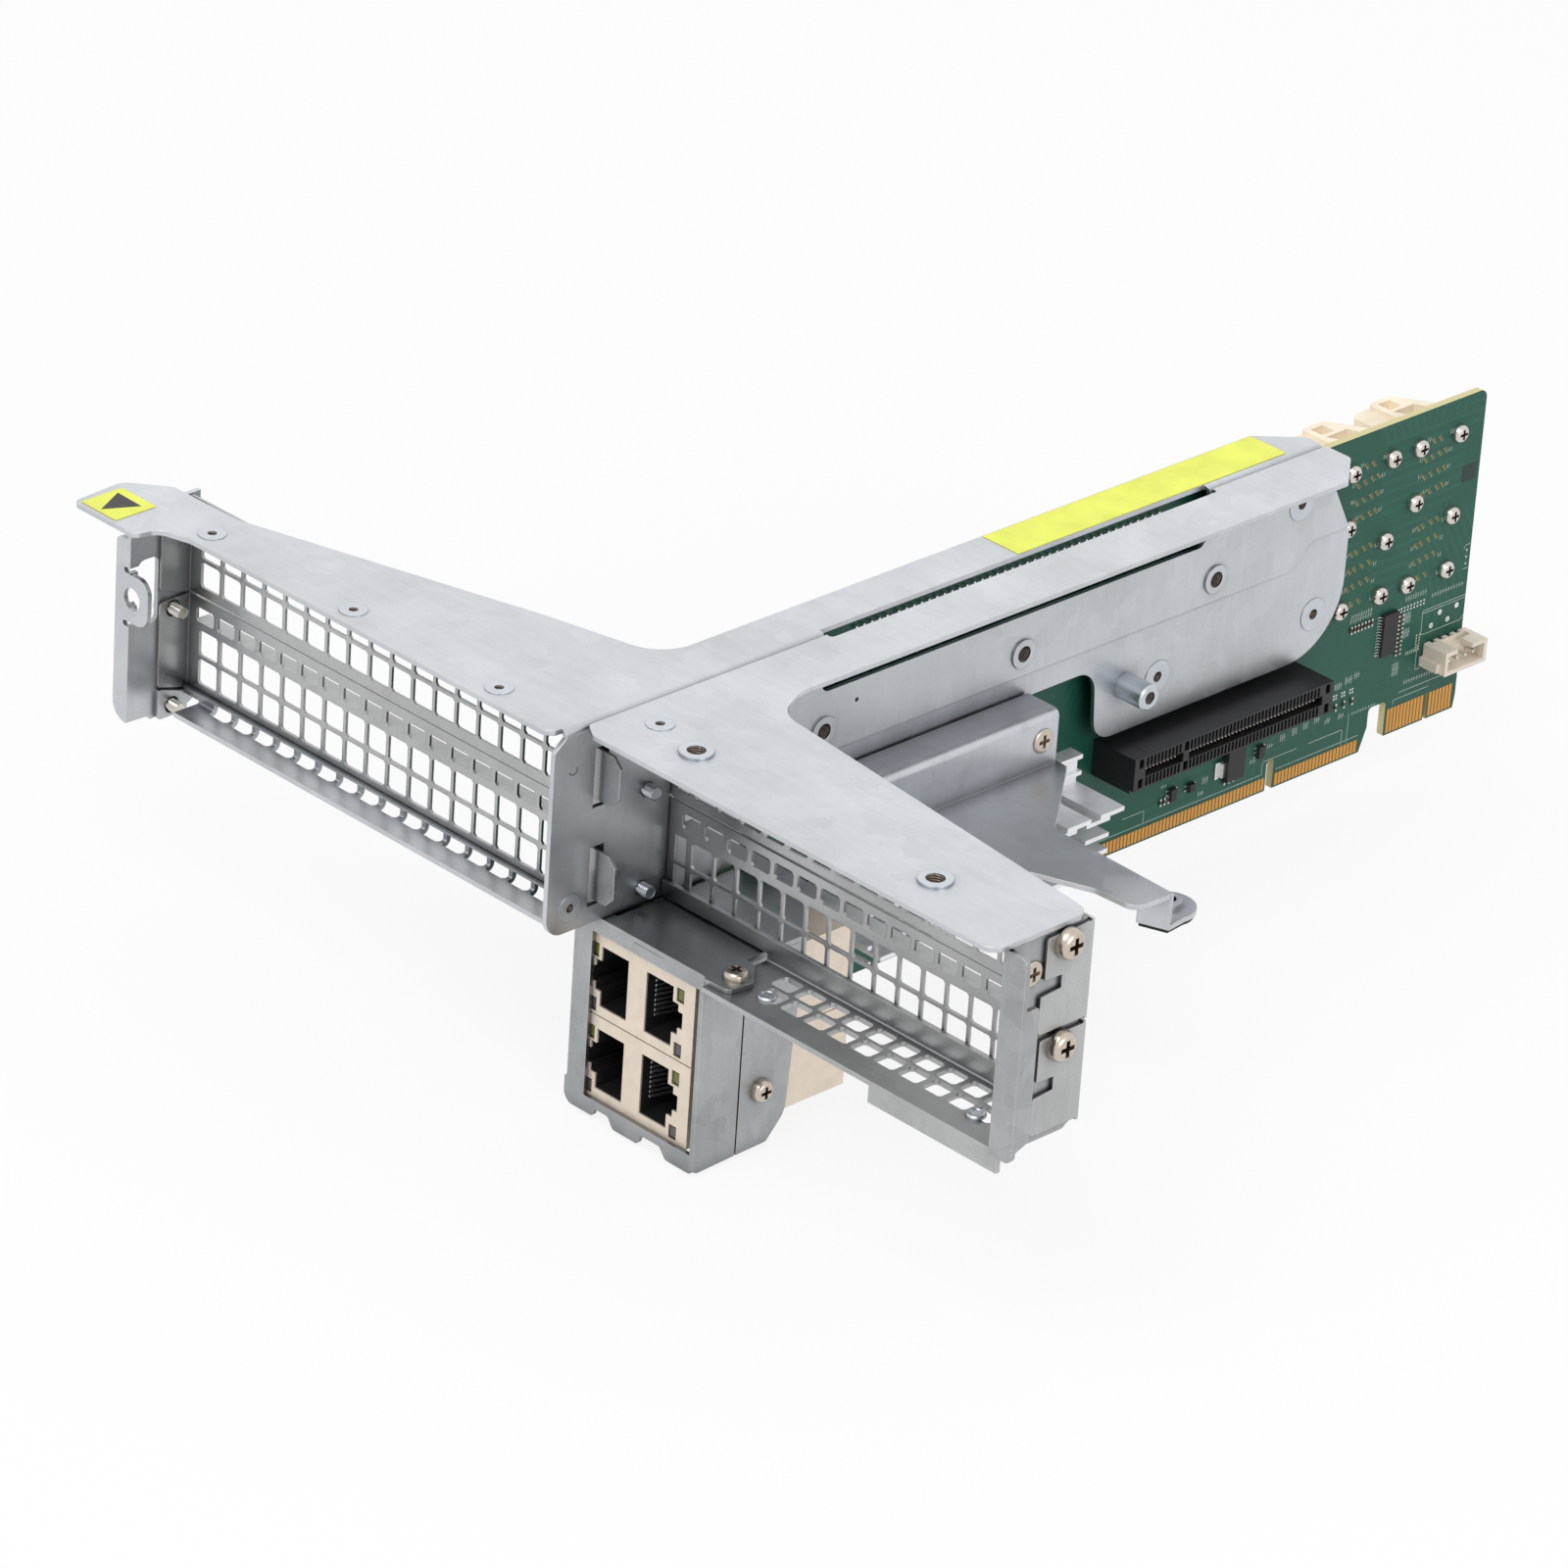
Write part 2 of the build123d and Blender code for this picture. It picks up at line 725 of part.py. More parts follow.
with BuildPart() as support_arm:
    with BuildSketch(at_y(arm_start)):
        outline([
            (0.1, -arm_ledge, 0),
            (arm_ledge_width, -arm_ledge, bend),
            (arm_ledge_width, -arm_depth, 0),
            (arm_ledge_width - sheet, -arm_depth, 0),
            (arm_ledge_width - sheet, -arm_ledge - sheet, bend / 3),
            (0.1, -arm_ledge - sheet, 0),
        ])
    extrude(amount=-(arm_end - arm_start))
    with BuildSketch(at_z(-arm_depth)):
        outline(arm_outline)
    extrude(amount=-sheet)
    # Turned edge along the near side of the arm
    with BuildSketch(at_y(arm_start)):
        rectangle(arm_ledge_width, 30.0, -arm_depth - 2.4, -arm_depth)
    extrude(amount=-sheet)
    with BuildSketch(foot_frame):
        rectangle(-foot_width, 0, 0, sheet)
    extrude(amount=-foot_drop)
    with BuildSketch(foot_frame.offset(sheet - foot_drop)):
        foot_shape(0)
    extrude(amount=-sheet)
    with BuildSketch(foot_frame.offset(sheet - foot_drop + 1.4)):
        with Locations(foot_middle):
            Circle(2.6)
    extrude(amount=-1.4)
    with BuildSketch(foot_frame.offset(sheet - foot_drop + 1.4)):
        with Locations(foot_middle):
            Circle(1.5)
    extrude(amount=-(sheet + 1.4), mode=Mode.SUBTRACT)
    with BuildSketch(at_x(arm_ledge_width)):
        with Locations(arm_screw):
            Circle(1.5)
    extrude(amount=-sheet, mode=Mode.SUBTRACT)
save(support_arm.part, "support_arm")

# Rubber pad under the foot
with BuildPart() as arm_pad:
    with BuildSketch(foot_frame.offset(-foot_drop)):
        foot_shape(0.4)
    extrude(amount=-pad_thick)
save(arm_pad.part, "arm_pad")

# Port cage: top plate, front frame and right side, folded from one sheet
cage_floor = jack_top + 2 * jack_height + jack_gap
with BuildPart() as port_cage:
    with BuildSketch(at_z(-cage_top)):
        outline([
            (-cage_left, cage_front, 0),
            (cage_right, cage_front, 0),
            (cage_right + 1.0, cage_front - 0.6, 0),
            (cage_right + 6.6, cage_front - 0.4, 1.5),
            (cage_right + 7.2, cage_front + 5.4, 1.5),
            (cage_right + 3.0, cage_front + 9.8, 1.5),
            (cage_right, cage_front + 10.6, 0),
            (cage_right, side_back, 0),
            (cage_right - 9.0, cage_wall_back, 0),
            (1.0, cage_wall_back, 0),
            (1.0, cage_front + 3.0, 0),
            (-cage_left, cage_front + 3.0, 0),
        ])
    extrude(amount=-sheet)
    with BuildSketch(at_y(cage_front)):
        outline([
            (-cage_left, -cage_top, 0),
            (cage_right, -cage_top, 0),
            (cage_right, -cage_bottom, 1.2),
            (20.0, -cage_bottom, 1),
            (18.2, -cage_bottom + 2.1, 0.6),
            (13.2, -cage_bottom + 2.1, 0.6),
            (12.4, -cage_bottom, 0.6),
            (5.8, -cage_bottom, 1),
            (4.4, -cage_bottom + 2.1, 1),
            (0.8, -cage_bottom + 2.1, 0.4),
            (0.2, -cage_bottom + 0.4, 0.4),
            (-cage_left - 0.6, -cage_bottom + 0.4, 2.4),
            (-cage_left - 0.6, -cage_bottom + 5.6, 0.6),
            (-cage_left, -cage_bottom + 6.2, 0),
        ])
        rectangle(-2.3, cage_right - sheet, -cage_floor, -jack_top + 0.4, mode=Mode.SUBTRACT)
        rectangle(8.4, 16.6, -cage_top - 1.1, -cage_top - 0.6, mode=Mode.SUBTRACT)
    extrude(amount=-sheet)
    with BuildSketch(at_x(cage_right)):
        outline([
            (cage_front, -cage_top, 0),
            (cage_side, -cage_top, 0),
            (cage_side, -cage_bottom + 0.4, 0),
            (cage_front, -cage_bottom, 1.5),
        ])
    extrude(amount=-sheet)
save(port_cage.part, "port_cage")

# Side plate behind the cage, held to the jacks' board by a screw
side_screw = (26.6, -71.0)
with BuildPart() as cage_side_plate:
    with BuildSketch(at_x(cage_right)):
        outline([
            (cage_side + 0.4, -cage_top - sheet - 0.1, 0),
            (side_back, -cage_top - sheet - 0.1, 0),
            (33.4, -78.0, 5),
            (29.0, -cage_bottom + 0.6, 1),
            (cage_side + 0.4, -cage_bottom + 0.4, 0),
        ])
        with Locations(side_screw):
            Circle(1.5, mode=Mode.SUBTRACT)
    extrude(amount=-sheet)
save(cage_side_plate.part, "cage_side_plate")


def port_cut(z, first, step_side):
    """Port mouth centred at height z, from x = first, with its keyway on the side step_side."""
    last = first + port_height
    outer = first if step_side < 0 else last
    rectangle(first, last, z - port_width / 2, z + port_width / 2)
    rectangle(
        min(outer, outer + step_side * key_height),
        max(outer, outer + step_side * key_height),
        z - key_width / 2,
        z + key_width / 2,
    )
    rectangle(
        min(outer, outer + step_side * (key_height + latch_height)),
        max(outer, outer + step_side * (key_height + latch_height)),
        z - latch_width / 2,
        z + latch_width / 2,
    )


def window_places(z):
    """Centres of the four status windows at the corners of a jack whose top is at z."""
    columns = (-2.3, jack_right - 3.85)
    return [(x, y) for x in columns for y in (z - 3.7, z - jack_height + 1.9)]


ports = [(-port_first, -1), (port_second, 1)]
jack_front = cage_front + sheet
contact_pitch = 1.02
contact_wire = 0.5
contact_reach = 2.2
jack_tops = {"upper": -jack_top, "lower": -(jack_top + jack_height + jack_gap)}
for unit, jack_z in jack_tops.items():
    port_z = jack_z - port_drop
    # Shield: a tinned shell, open towards the board
    with BuildPart() as shield:
        with BuildSketch(at_y(jack_front)):
            rectangle(-jack_left, jack_right, jack_z - jack_height, jack_z)
        extrude(amount=-jack_depth)
        with BuildSketch(at_y(jack_front + shield_thick)):
            rectangle(
                -jack_left - shield_thick,
                jack_right - shield_thick,
                jack_z - jack_height + shield_thick,
                jack_z - shield_thick,
            )
        extrude(amount=-(jack_depth - 2 * shield_thick), mode=Mode.SUBTRACT)
        with BuildSketch(at_y(jack_front)):
            for first, step_side in ports:
                port_cut(port_z, first, step_side)
            with Locations(window_places(jack_z)):
                Rectangle(window_width, window_height)
        extrude(amount=-2 * shield_thick, mode=Mode.SUBTRACT)
    save(shield.part, f"{unit}_ethernet_jack")

    # Insulator: the moulding that holds the contacts round the two ports
    with BuildPart() as insulator:
        with BuildSketch(at_y(jack_front + shield_thick)):
            rectangle(
                -jack_left,
                jack_right - shield_thick,
                jack_z - jack_height + shield_thick,
                jack_z - shield_thick,
            )
        extrude(amount=-(jack_depth - 2 * shield_thick))
        with BuildSketch(at_y(jack_front + shield_thick)):
            for first, step_side in ports:
                port_cut(port_z, first, step_side)
        extrude(amount=-port_depth, mode=Mode.SUBTRACT)
        with BuildSketch(at_y(jack_front + shield_thick)):
            with Locations(window_places(jack_z)):
                Rectangle(window_width, window_height)
        extrude(amount=-1.0, mode=Mode.SUBTRACT)
    save(insulator.part, f"{unit}_jack_insulator")

    # Contacts: eight wires in each port, sloping away from the inner side
    with BuildPart() as contacts:
        for first, step_side in ports:
            inner = first + port_height if step_side < 0 else first
            for index in range(8):
                wire_z = port_z + (index - 3.5) * contact_pitch
                with BuildSketch(at_z(wire_z + contact_wire / 2)):
                    outline([
                        (inner, jack_front + 2.4, 0),
                        (inner + step_side * contact_reach, jack_front + 10.0, 0),
                        (inner + step_side * contact_reach, jack_front + 11.0, 0),
                        (inner, jack_front + 3.4, 0),
                    ])
                extrude(amount=-contact_wire)
    save(contacts.part, f"{unit}_jack_contacts")

with BuildPart() as status_windows:
    for jack_z in jack_tops.values():
        with BuildSketch(at_y(jack_front)):
            with Locations(window_places(jack_z)):
                Rectangle(window_width, window_height)
        extrude(amount=-(shield_thick + 1.0))
save(status_windows.part, "status_windows")

# Circuit board
board_outline = [
    (board_front, -board_top, 0.5),
    (board_step_y, -board_top, 1),
    (board_step_y + 2.6, -board_step, 1),
    (board_back, -board_step, 2),
    (board_back, -small_edge_depth + 3.0, 0),
    (small_edge_end, -small_edge_depth, 0.3),
    (small_edge_start, -small_edge_depth, 0.3),
    (small_edge_start, -notch_depth, 1),
    (edge_end + 1.9, -notch_depth, 1),
    (edge_end + 1.9, -edge_depth + 5.0, 0),
    (edge_end, -edge_depth, 0.3),
    (edge_start, -edge_depth, 0.3),
    (edge_start - 1.0, -edge_depth + 5.0, 0),
    (board_foot_back, -edge_depth + 5.0, 1),
    (board_foot_back - 3.0, -board_foot, 1),
    (board_front, -board_foot, 1),
]
# Screws from the far side, each into a spacer on the wall
board_holes = [(40.0, -20.0), (176.0, -30.0), (188.0, -44.0), (52.0, -26.0)]
with BuildPart() as circuit_board:
    with BuildSketch(at_x(board_face)):
        outline(board_outline)
        rectangle(
            edge_key - edge_key_width / 2,
            edge_key + edge_key_width / 2,
            -edge_depth - 1,
            -edge_depth + contact_height + 0.5,
            0.8,
            mode=Mode.SUBTRACT,
        )
        rectangle(
            small_key - small_key_width / 2,
            small_key + small_key_width / 2,
            -small_edge_depth - 1,
            -small_edge_depth + contact_height,
            0.4,
            mode=Mode.SUBTRACT,
        )
        with Locations(board_holes):
            Circle(1.6, mode=Mode.SUBTRACT)
    extrude(amount=-board_thick)
save(circuit_board.part, "circuit_board")

# Gold contacts along both lower edges, on both faces of the board
contact_bands = [
    (edge_start + 0.6, edge_key - edge_key_width / 2 - 0.3, edge_depth),
    (edge_key + edge_key_width / 2 + 0.3, edge_end - 0.5, edge_depth),
    (small_edge_start + 0.5, small_key - small_key_width / 2 - 0.2, small_edge_depth),
    (small_key + small_key_width / 2 + 0.2, small_edge_end - 0.6, small_edge_depth),
]
with BuildPart() as edge_contacts:
    for face, direction in ((board_face, 1), (board_rear, -1)):
        with BuildSketch(at_x(face)):
            for start, end, depth in contact_bands:
                rectangle(start, end, -depth + 0.4, -depth + contact_height)
        extrude(amount=direction * contact_thick)
save(edge_contacts.part, "edge_contacts")


def card_slot(face, direction, start, length, z, reach):
    """Card-edge connector on the board: a block with a keyed mouth and a row of wells each side."""
    key_place = start + 14.4
    with BuildSketch(at_x(face)) as block:
        rectangle(start, start + length, z - slot_height / 2, z + slot_height / 2)
    extrude(block.sketch, amount=direction * reach)
    with BuildSketch(at_x(face + direction * reach)) as mouth:
        rectangle(start + 3.0, key_place - 0.8, z - slot_mouth / 2, z + slot_mouth / 2)
        rectangle(key_place + 0.8, start + length - 3.0, z - slot_mouth / 2, z + slot_mouth / 2)
    extrude(mouth.sketch, amount=-direction * (reach - 3.0), mode=Mode.SUBTRACT)
    with BuildSketch(at_x(face)) as foot:
        rectangle(start, start + 3.2, z - slot_height / 2 - 0.8, z - slot_height / 2)
    extrude(foot.sketch, amount=direction * (reach - 1.0))


slot8_z = -(slot8_depth + slot_height / 2)
with BuildPart() as x8_slot:
    card_slot(board_face, 1, slot8_start, slot8_length, slot8_z, slot_reach)
save(x8_slot.part, "x8_slot")

for index, name in enumerate(["upper_x16_slot", "lower_x16_slot"]):
    slot16_z = -(slot16_depth + index * slot_pitch)
    with BuildPart() as x16_slot:
        card_slot(board_rear, -1, slot16_start, slot16_length, slot16_z, slot16_reach)
    save(x16_slot.part, name)

# Solder pins of the upper card slot, which show through the window of the wall
pin_start = 75.4
with BuildPart() as slot_pins:
    with BuildSketch(at_x(board_face)):
        for index in range(41):
            gap = 2.0 if index > 4 else 0.0
            with Locations((pin_start + 2.0 * index + gap / 2, -3.7)):
                Rectangle(0.5, 0.5)
    extrude(amount=0.9)
save(slot_pins.part, "slot_pins")

# Network chip and its finned heat sink
sink_middle = (sink_start + sink_end) / 2
sink_bottom = sink_top + sink_pitch * (fin_count - 1) + fin_thick
chip_z = -(sink_top + sink_bottom) / 2
with BuildPart() as network_chip:
    with BuildSketch(at_x(board_face)):
        rectangle(
            sink_middle - chip_side / 2,
            sink_middle + chip_side / 2,
            chip_z - chip_side / 2,
            chip_z + chip_side / 2,
            0.8,
        )
    extrude(amount=chip_thick)
save(network_chip.part, "network_chip")

sink_face = board_face + chip_thick
with BuildPart() as heat_sink:
    with BuildSketch(at_x(sink_face)):
        rectangle(sink_start, sink_end, -sink_bottom, -sink_top)
    extrude(amount=sink_base)
    for index in range(fin_count):
        fin_z = -(sink_top + index * sink_pitch)
        reach = top_fin_reach if index == 0 else fin_reach
        with BuildSketch(at_x(sink_face + sink_base)):
            rectangle(sink_start, sink_end, fin_z - fin_thick, fin_z)
        extrude(amount=reach - sink_face - sink_base)
    # Upright lip with two low ribs, standing on the top fin
    with BuildSketch(at_x(lip_plane)):
        rectangle(sink_start, sink_end, -sink_top, -lip_top)
    extrude(amount=lip_thick)
    for index in range(2):
        rib_z = -(lip_top + index * sink_pitch)
        with BuildSketch(at_x(lip_plane + lip_thick)):
            rectangle(sink_start, sink_end, rib_z - fin_thick, rib_z)
        extrude(amount=1.3)
    # Cross cuts part the fins into rows
    cut_count = int((sink_end - sink_start) / (segment + segment_gap))
    with BuildSketch(at_x(sink_face + sink_base + 0.3)):
        for index in range(cut_count):
            cut = sink_end - (index + 1) * (segment + segment_gap)
            rectangle(cut, cut + segment_gap, -sink_bottom - 1, -sink_top + 1)
    extrude(amount=top_fin_reach, mode=Mode.SUBTRACT)
save(heat_sink.part, "heat_sink")

# Storage connectors on the far face, two by two, each with three screws from the near face
screw_places = []
for column in range(2):
    for row in range(2):
        middle_y = storage_first_y - column * storage_pitch_y
        middle_z = -(storage_first_z + row * storage_pitch_z)
        side = 1 if row == 0 else -1
        near_end = middle_y - storage_length / 2
        far_end = middle_y + storage_length / 2
        with BuildPart() as storage_connector:
            # In plan the block runs out to a slanted far end
            with BuildSketch(at_z(middle_z + storage_height / 2)):
                outline([
                    (board_rear, near_end, 0),
                    (board_rear, far_end, 0),
                    (board_rear - 6.5, far_end, 1),
                    (board_rear - storage_reach, far_end - storage_slope, 1.5),
                    (board_rear - storage_reach + 0.6, near_end, 2),
                ])
            extrude(amount=-storage_height)
            # Raised guide on the outer side, with two pockets parted by a rib
            guide_z = middle_z + side * storage_height / 2
            with BuildSketch(at_z(guide_z)):
                outline([
                    (board_rear, near_end + 5.4, 0),
                    (board_rear, far_end, 0),
                    (board_rear - 6.5, far_end, 1),
                    (board_rear - storage_reach, far_end - storage_slope, 1.5),
                    (board_rear - storage_reach + 0.3, near_end + 5.4, 1),
                ])
            extrude(amount=side * guide_height)
            with BuildSketch(at_z(guide_z + side * guide_height)):
                outline([
                    (board_rear - storage_reach + 1.4, near_end + 7.0, 0),
                    (board_rear - storage_reach + 1.4, far_end - storage_slope - 1.4, 0),
                    (board_rear - storage_reach + 4.6, far_end - storage_slope - 1.4, 0),
                    (board_rear - storage_reach + 4.6, near_end + 7.0, 0),
                ])
                outline([
                    (board_rear - storage_reach + 5.6, near_end + 7.0, 0),
                    (board_rear - storage_reach + 5.6, far_end - storage_slope + 1.2, 0),
                    (board_rear - 4.0, far_end - 1.6, 0),
                    (board_rear - 4.0, near_end + 10.0, 0),
                ])
            extrude(amount=-side * (guide_height + 0.8), mode=Mode.SUBTRACT)
            # Mouth for the plug
            with BuildSketch(at_x(board_rear - storage_reach)):
                rectangle(near_end + 3.4, far_end - 3.4, middle_z - 3.2, middle_z + 3.2)
            extrude(amount=storage_reach - 3.0, mode=Mode.SUBTRACT)
        save(storage_connector.part, f"storage_connector_{2 * column + row + 1}")
        screw_places += [
            (middle_y + 5.8, middle_z + side * 6.0),
            (middle_y - 5.8, middle_z + side * 6.0),
            (middle_y - side * 5.8, middle_z - side * 6.0),
        ]

with BuildPart() as connector_screws:
    with BuildSketch(at_x(board_face)):
        with Locations(screw_places):
            Circle(board_screw_head / 2)
    extrude(amount=1.5)
save(connector_screws.part, "connector_screws")

# Spacers between the wall and the board, with screws from the far side
spacer_places = [(place[0], place[1]) for place in board_holes[:3]]
with BuildPart() as board_spacers:
    with BuildSketch(at_x(board_face)):
        with Locations(spacer_places):
            Circle(2.4)
            Circle(1.2, mode=Mode.SUBTRACT)
    extrude(amount=board_gap - emboss)
save(board_spacers.part, "board_spacers")

with BuildPart() as board_screws:
    with BuildSketch(at_x(board_rear)):
        with Locations(spacer_places):
            Circle(2.8)
    extrude(amount=-1.6)
save(board_screws.part, "board_screws")

# Power header: a shrouded block of four pins, open towards +X and at its top
header_back = header_start + header_length
pin_pitch = 2.4
with BuildPart() as power_header:
    with BuildSketch(at_x(board_face)):
        rectangle(header_start, header_back, -header_top - header_height, -header_top, 0.3)
    extrude(amount=header_reach)
    # Side ear at the foot
    with BuildSketch(at_x(board_face)):
        rectangle(header_start - 1.0, header_start + 0.5, -header_top - 4.7, -header_top - 2.7)
    extrude(amount=header_reach - 1.4)
    with BuildSketch(at_x(board_face + header_reach)):
        rectangle(
            header_start + header_wall,
            header_back - header_wall,
            -header_top - header_height + header_wall,
            -header_top - header_wall,
        )
    extrude(amount=-(header_reach - 2.6), mode=Mode.SUBTRACT)
    # Window in the top wall, and a row of notches where the leads turn into the board
    with BuildSketch(at_z(-header_top)):
        rectangle(board_face + 1.2, board_face + header_reach, header_start + 3.5, header_start + 7.9)
        rectangle(board_face + 1.2, board_face + 2.8, header_start + 3.5, header_back - 1.6)
        with Locations((board_face + 0.4, (header_start + header_back) / 2 - 0.4)):
            with GridLocations(1, pin_pitch, 1, 4):
                Rectangle(0.9, 1.2)
    extrude(amount=-1.3, mode=Mode.SUBTRACT)
save(power_header.part, "power_header")

with BuildPart() as header_pins:
    with BuildSketch(at_x(board_face + 3.0)):
        with Locations((header_start + header_length / 2, -header_top - header_height / 2 - 0.2)):
            with GridLocations(pin_pitch, 1, 4, 1):
                Rectangle(0.64, 0.64)
    extrude(amount=header_reach - 4.2)
save(header_pins.part, "header_pins")

# Chips on the near face of the board, each standing on it
chip_blocks = {
    "switch_chip": (226.0, 230.2, -56.0, -46.8, 1.0),
    "regulator_chip": (182.2, 187.0, -69.8, -62.0, 1.8),
}
for name, (y0, y1, z0, z1, height) in chip_blocks.items():
    with BuildPart() as chip:
        with BuildSketch(at_x(board_face)):
            rectangle(y0, y1, z0, z1)
        extrude(amount=height)
    save(chip.part, name)

# Flush nuts: a wide flange in the sheet's face and a threaded barrel behind it
with BuildPart() as flush_nuts:
    with BuildSketch(at_z(0.15)):
        with Locations(plate_nuts, right_nut):
            Circle(nut_flange / 2)
            Circle(0.9, mode=Mode.SUBTRACT)
    extrude(amount=-0.15)
    with BuildSketch(top_plane):
        with Locations(plate_nuts, right_nut):
            Circle(1.6)
            Circle(0.9, mode=Mode.SUBTRACT)
    extrude(amount=-2.4)
    with BuildSketch(at_x(0.15)):
        with Locations(wall_nuts[0]):
            Circle(nut_flange / 2)
            Circle(0.9, mode=Mode.SUBTRACT)
    extrude(amount=-0.15)
    with BuildSketch(wall_plane):
        with Locations(wall_nuts[0]):
            Circle(1.6)
            Circle(0.9, mode=Mode.SUBTRACT)
    extrude(amount=-2.4)
    for place in wall_nuts[1:]:
        nut_face = 0.0 if place == wall_nuts[3] else -emboss
        with BuildSketch(at_x(nut_face + 0.15)):
            with Locations(place):
                Circle(large_nut_flange / 2)
                Circle(1.1, mode=Mode.SUBTRACT)
        extrude(amount=-0.15)
        with BuildSketch(at_x(nut_face)):
            with Locations(place):
                Circle(1.6)
                Circle(1.1, mode=Mode.SUBTRACT)
        extrude(amount=-2.4)
save(flush_nuts.part, "flush_nuts")

with BuildPart() as standoff:
    with BuildSketch(at_x(-emboss)):
        with Locations(standoff_place):
            Circle(standoff_diameter / 2)
    extrude(amount=standoff_length + emboss)
    with BuildSketch(at_x(-emboss)):
        with Locations(standoff_place):
            Circle(1.6)
    extrude(amount=-sheet)
    with BuildSketch(at_x(standoff_length)):
        with Locations(standoff_place):
            Circle(1.3)
    extrude(amount=-standoff_length, mode=Mode.SUBTRACT)
    chamfer(standoff.faces().sort_by(Axis.X)[-1].outer_wire().edges(), 0.4)
save(standoff.part, "standoff")


def pan_screw(x, place, direction, head_diameter, shank):
    """Pan-head screw whose head sits on the plane x and points along direction."""
    with BuildSketch(at_x(x)) as head:
        with Locations(place):
            Circle(head_diameter / 2)
    extrude(head.sketch, amount=direction * pan_height)
    with BuildSketch(at_x(x)) as shaft:
        with Locations(place):
            Circle(1.35)
    extrude(shaft.sketch, amount=-direction * shank)


# Cover screws: heads outside each end bracket, shanks through the tabs
with BuildPart() as cover_screws:
    for depth in left_screw_depths:
        pan_screw(-left_end - sheet, (left_screw_y, -depth), -1, small_pan_head, 2 * sheet + 2.4)
    for depth in right_screw_depths:
        pan_screw(tab_face + cover_thick, (right_screw_y, -depth), 1, pan_head, 2 * sheet + 2.0)
    ends = cover_screws.faces().filter_by(Axis.X).group_by(Axis.X)
    chamfer(ends[0].edges() + ends[-1].edges(), 0.9)
save(cover_screws.part, "cover_screws")

# Screws through the wall, seen from their points
with BuildPart() as wall_screw_set:
    for place in wall_screws:
        pan_screw(-sheet, place, -1, small_pan_head, sheet + 2.4)
save(wall_screw_set.part, "wall_screws")

# Flat-head screws of the support arm and of the right end bracket
with BuildPart() as flat_screws:
    for x, place in ((arm_ledge_width, arm_screw), (right_end + sheet, flat_screw_place)):
        with BuildSketch(at_x(x)):
            with Locations(place):
                Circle(flat_head / 2)
        extrude(amount=0.5)
        with BuildSketch(at_x(x)):
            with Locations(place):
                Circle(1.45)
        extrude(amount=-3.0)
save(flat_screws.part, "flat_screws")

# Screw that clamps the cage to the tray, screw in the cage's side, and rivets of the tray
cage_screw = (cage_right + 3.6, cage_front + 4.4)
with BuildPart() as cage_screws:
    with BuildSketch(at_z(-cage_top)):
        with Locations(cage_screw):
            Circle(2.4)
    extrude(amount=1.6)
    with BuildSketch(at_x(cage_right)):
        with Locations(side_screw):
            Circle(2.3)
    extrude(amount=1.8)
    with BuildSketch(at_x(cage_right)):
        with Locations(side_screw):
            Circle(1.45)
    extrude(amount=-2.6)
save(cage_screws.part, "cage_screws")

rivet_places = [(38.6, 15.2), (92.0, 14.8)]
with BuildPart() as tray_rivets:
    with BuildSketch(at_z(-tray_top)):
        with Locations(rivet_places):
            Circle(rivet_head / 2)
    extrude(amount=0.8)
    chamfer(tray_rivets.faces().filter_by(lambda f: f.center().Z > top_z - tray_top + 0.7).edges(), 0.3)
save(tray_rivets.part, "tray_rivets")

# Labels on the top face: a long one on the tail, and a square one with an arrow on the wing's tip
with BuildPart() as long_label:
    with BuildSketch(top_plane):
        rectangle(-11.5, -2.1, 116.0, 189.6, 0.4)
    extrude(amount=label_thick)
save(long_label.part, "long_label")

with BuildPart() as arrow_label:
    with BuildSketch(top_plane):
        rectangle(-124.4, -114.4, -10.1, -0.2, 0.3)
    extrude(amount=label_thick)
save(arrow_label.part, "arrow_label")
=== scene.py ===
"""Studio scene of an ethernet riser card: finishes, small board parts, light and camera."""

import logging
import math
import random
from dataclasses import dataclass
from enum import Enum

import bmesh
import bpy
from mathutils import Matrix, Vector
from mathutils.geometry import tessellate_polygon


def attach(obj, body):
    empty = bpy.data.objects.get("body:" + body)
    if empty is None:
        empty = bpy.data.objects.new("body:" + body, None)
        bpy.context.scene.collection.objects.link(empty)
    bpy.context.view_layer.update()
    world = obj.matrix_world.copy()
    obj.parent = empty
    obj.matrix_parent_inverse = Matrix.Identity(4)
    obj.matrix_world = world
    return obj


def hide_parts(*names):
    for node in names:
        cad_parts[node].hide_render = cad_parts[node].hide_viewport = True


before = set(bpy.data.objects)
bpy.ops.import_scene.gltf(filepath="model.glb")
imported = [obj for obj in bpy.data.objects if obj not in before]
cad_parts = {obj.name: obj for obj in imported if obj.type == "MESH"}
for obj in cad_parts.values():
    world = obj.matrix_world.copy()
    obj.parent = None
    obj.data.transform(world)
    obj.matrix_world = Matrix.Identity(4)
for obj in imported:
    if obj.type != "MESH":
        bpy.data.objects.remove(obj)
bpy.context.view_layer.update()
LOG = logging.getLogger("riser_card")

Spot = tuple[float, float]
Point = tuple[float, float, float]
Span = tuple[float, float, float, float]
Disc = tuple[float, float, int]
Lead = tuple[float, tuple[Span, ...]]
Seat = tuple["Screw", "Facing", Point]
Socket = bpy.types.NodeSocket

# The sheet metal's datum corner in the row frame, in millimetres
DATUM = Vector((5.3, -166.8, 76.5))
MM = 0.001
# The board's two faces along x, in millimetres from the datum corner
BOARD_FACE = -4.5
BOARD_REAR = -6.1
# Thickness of what is printed, and pitch and groove of every screw thread, in millimetres
FILM = 0.02
THREAD_PITCH = 0.5
THREAD_GROOVE = 0.22
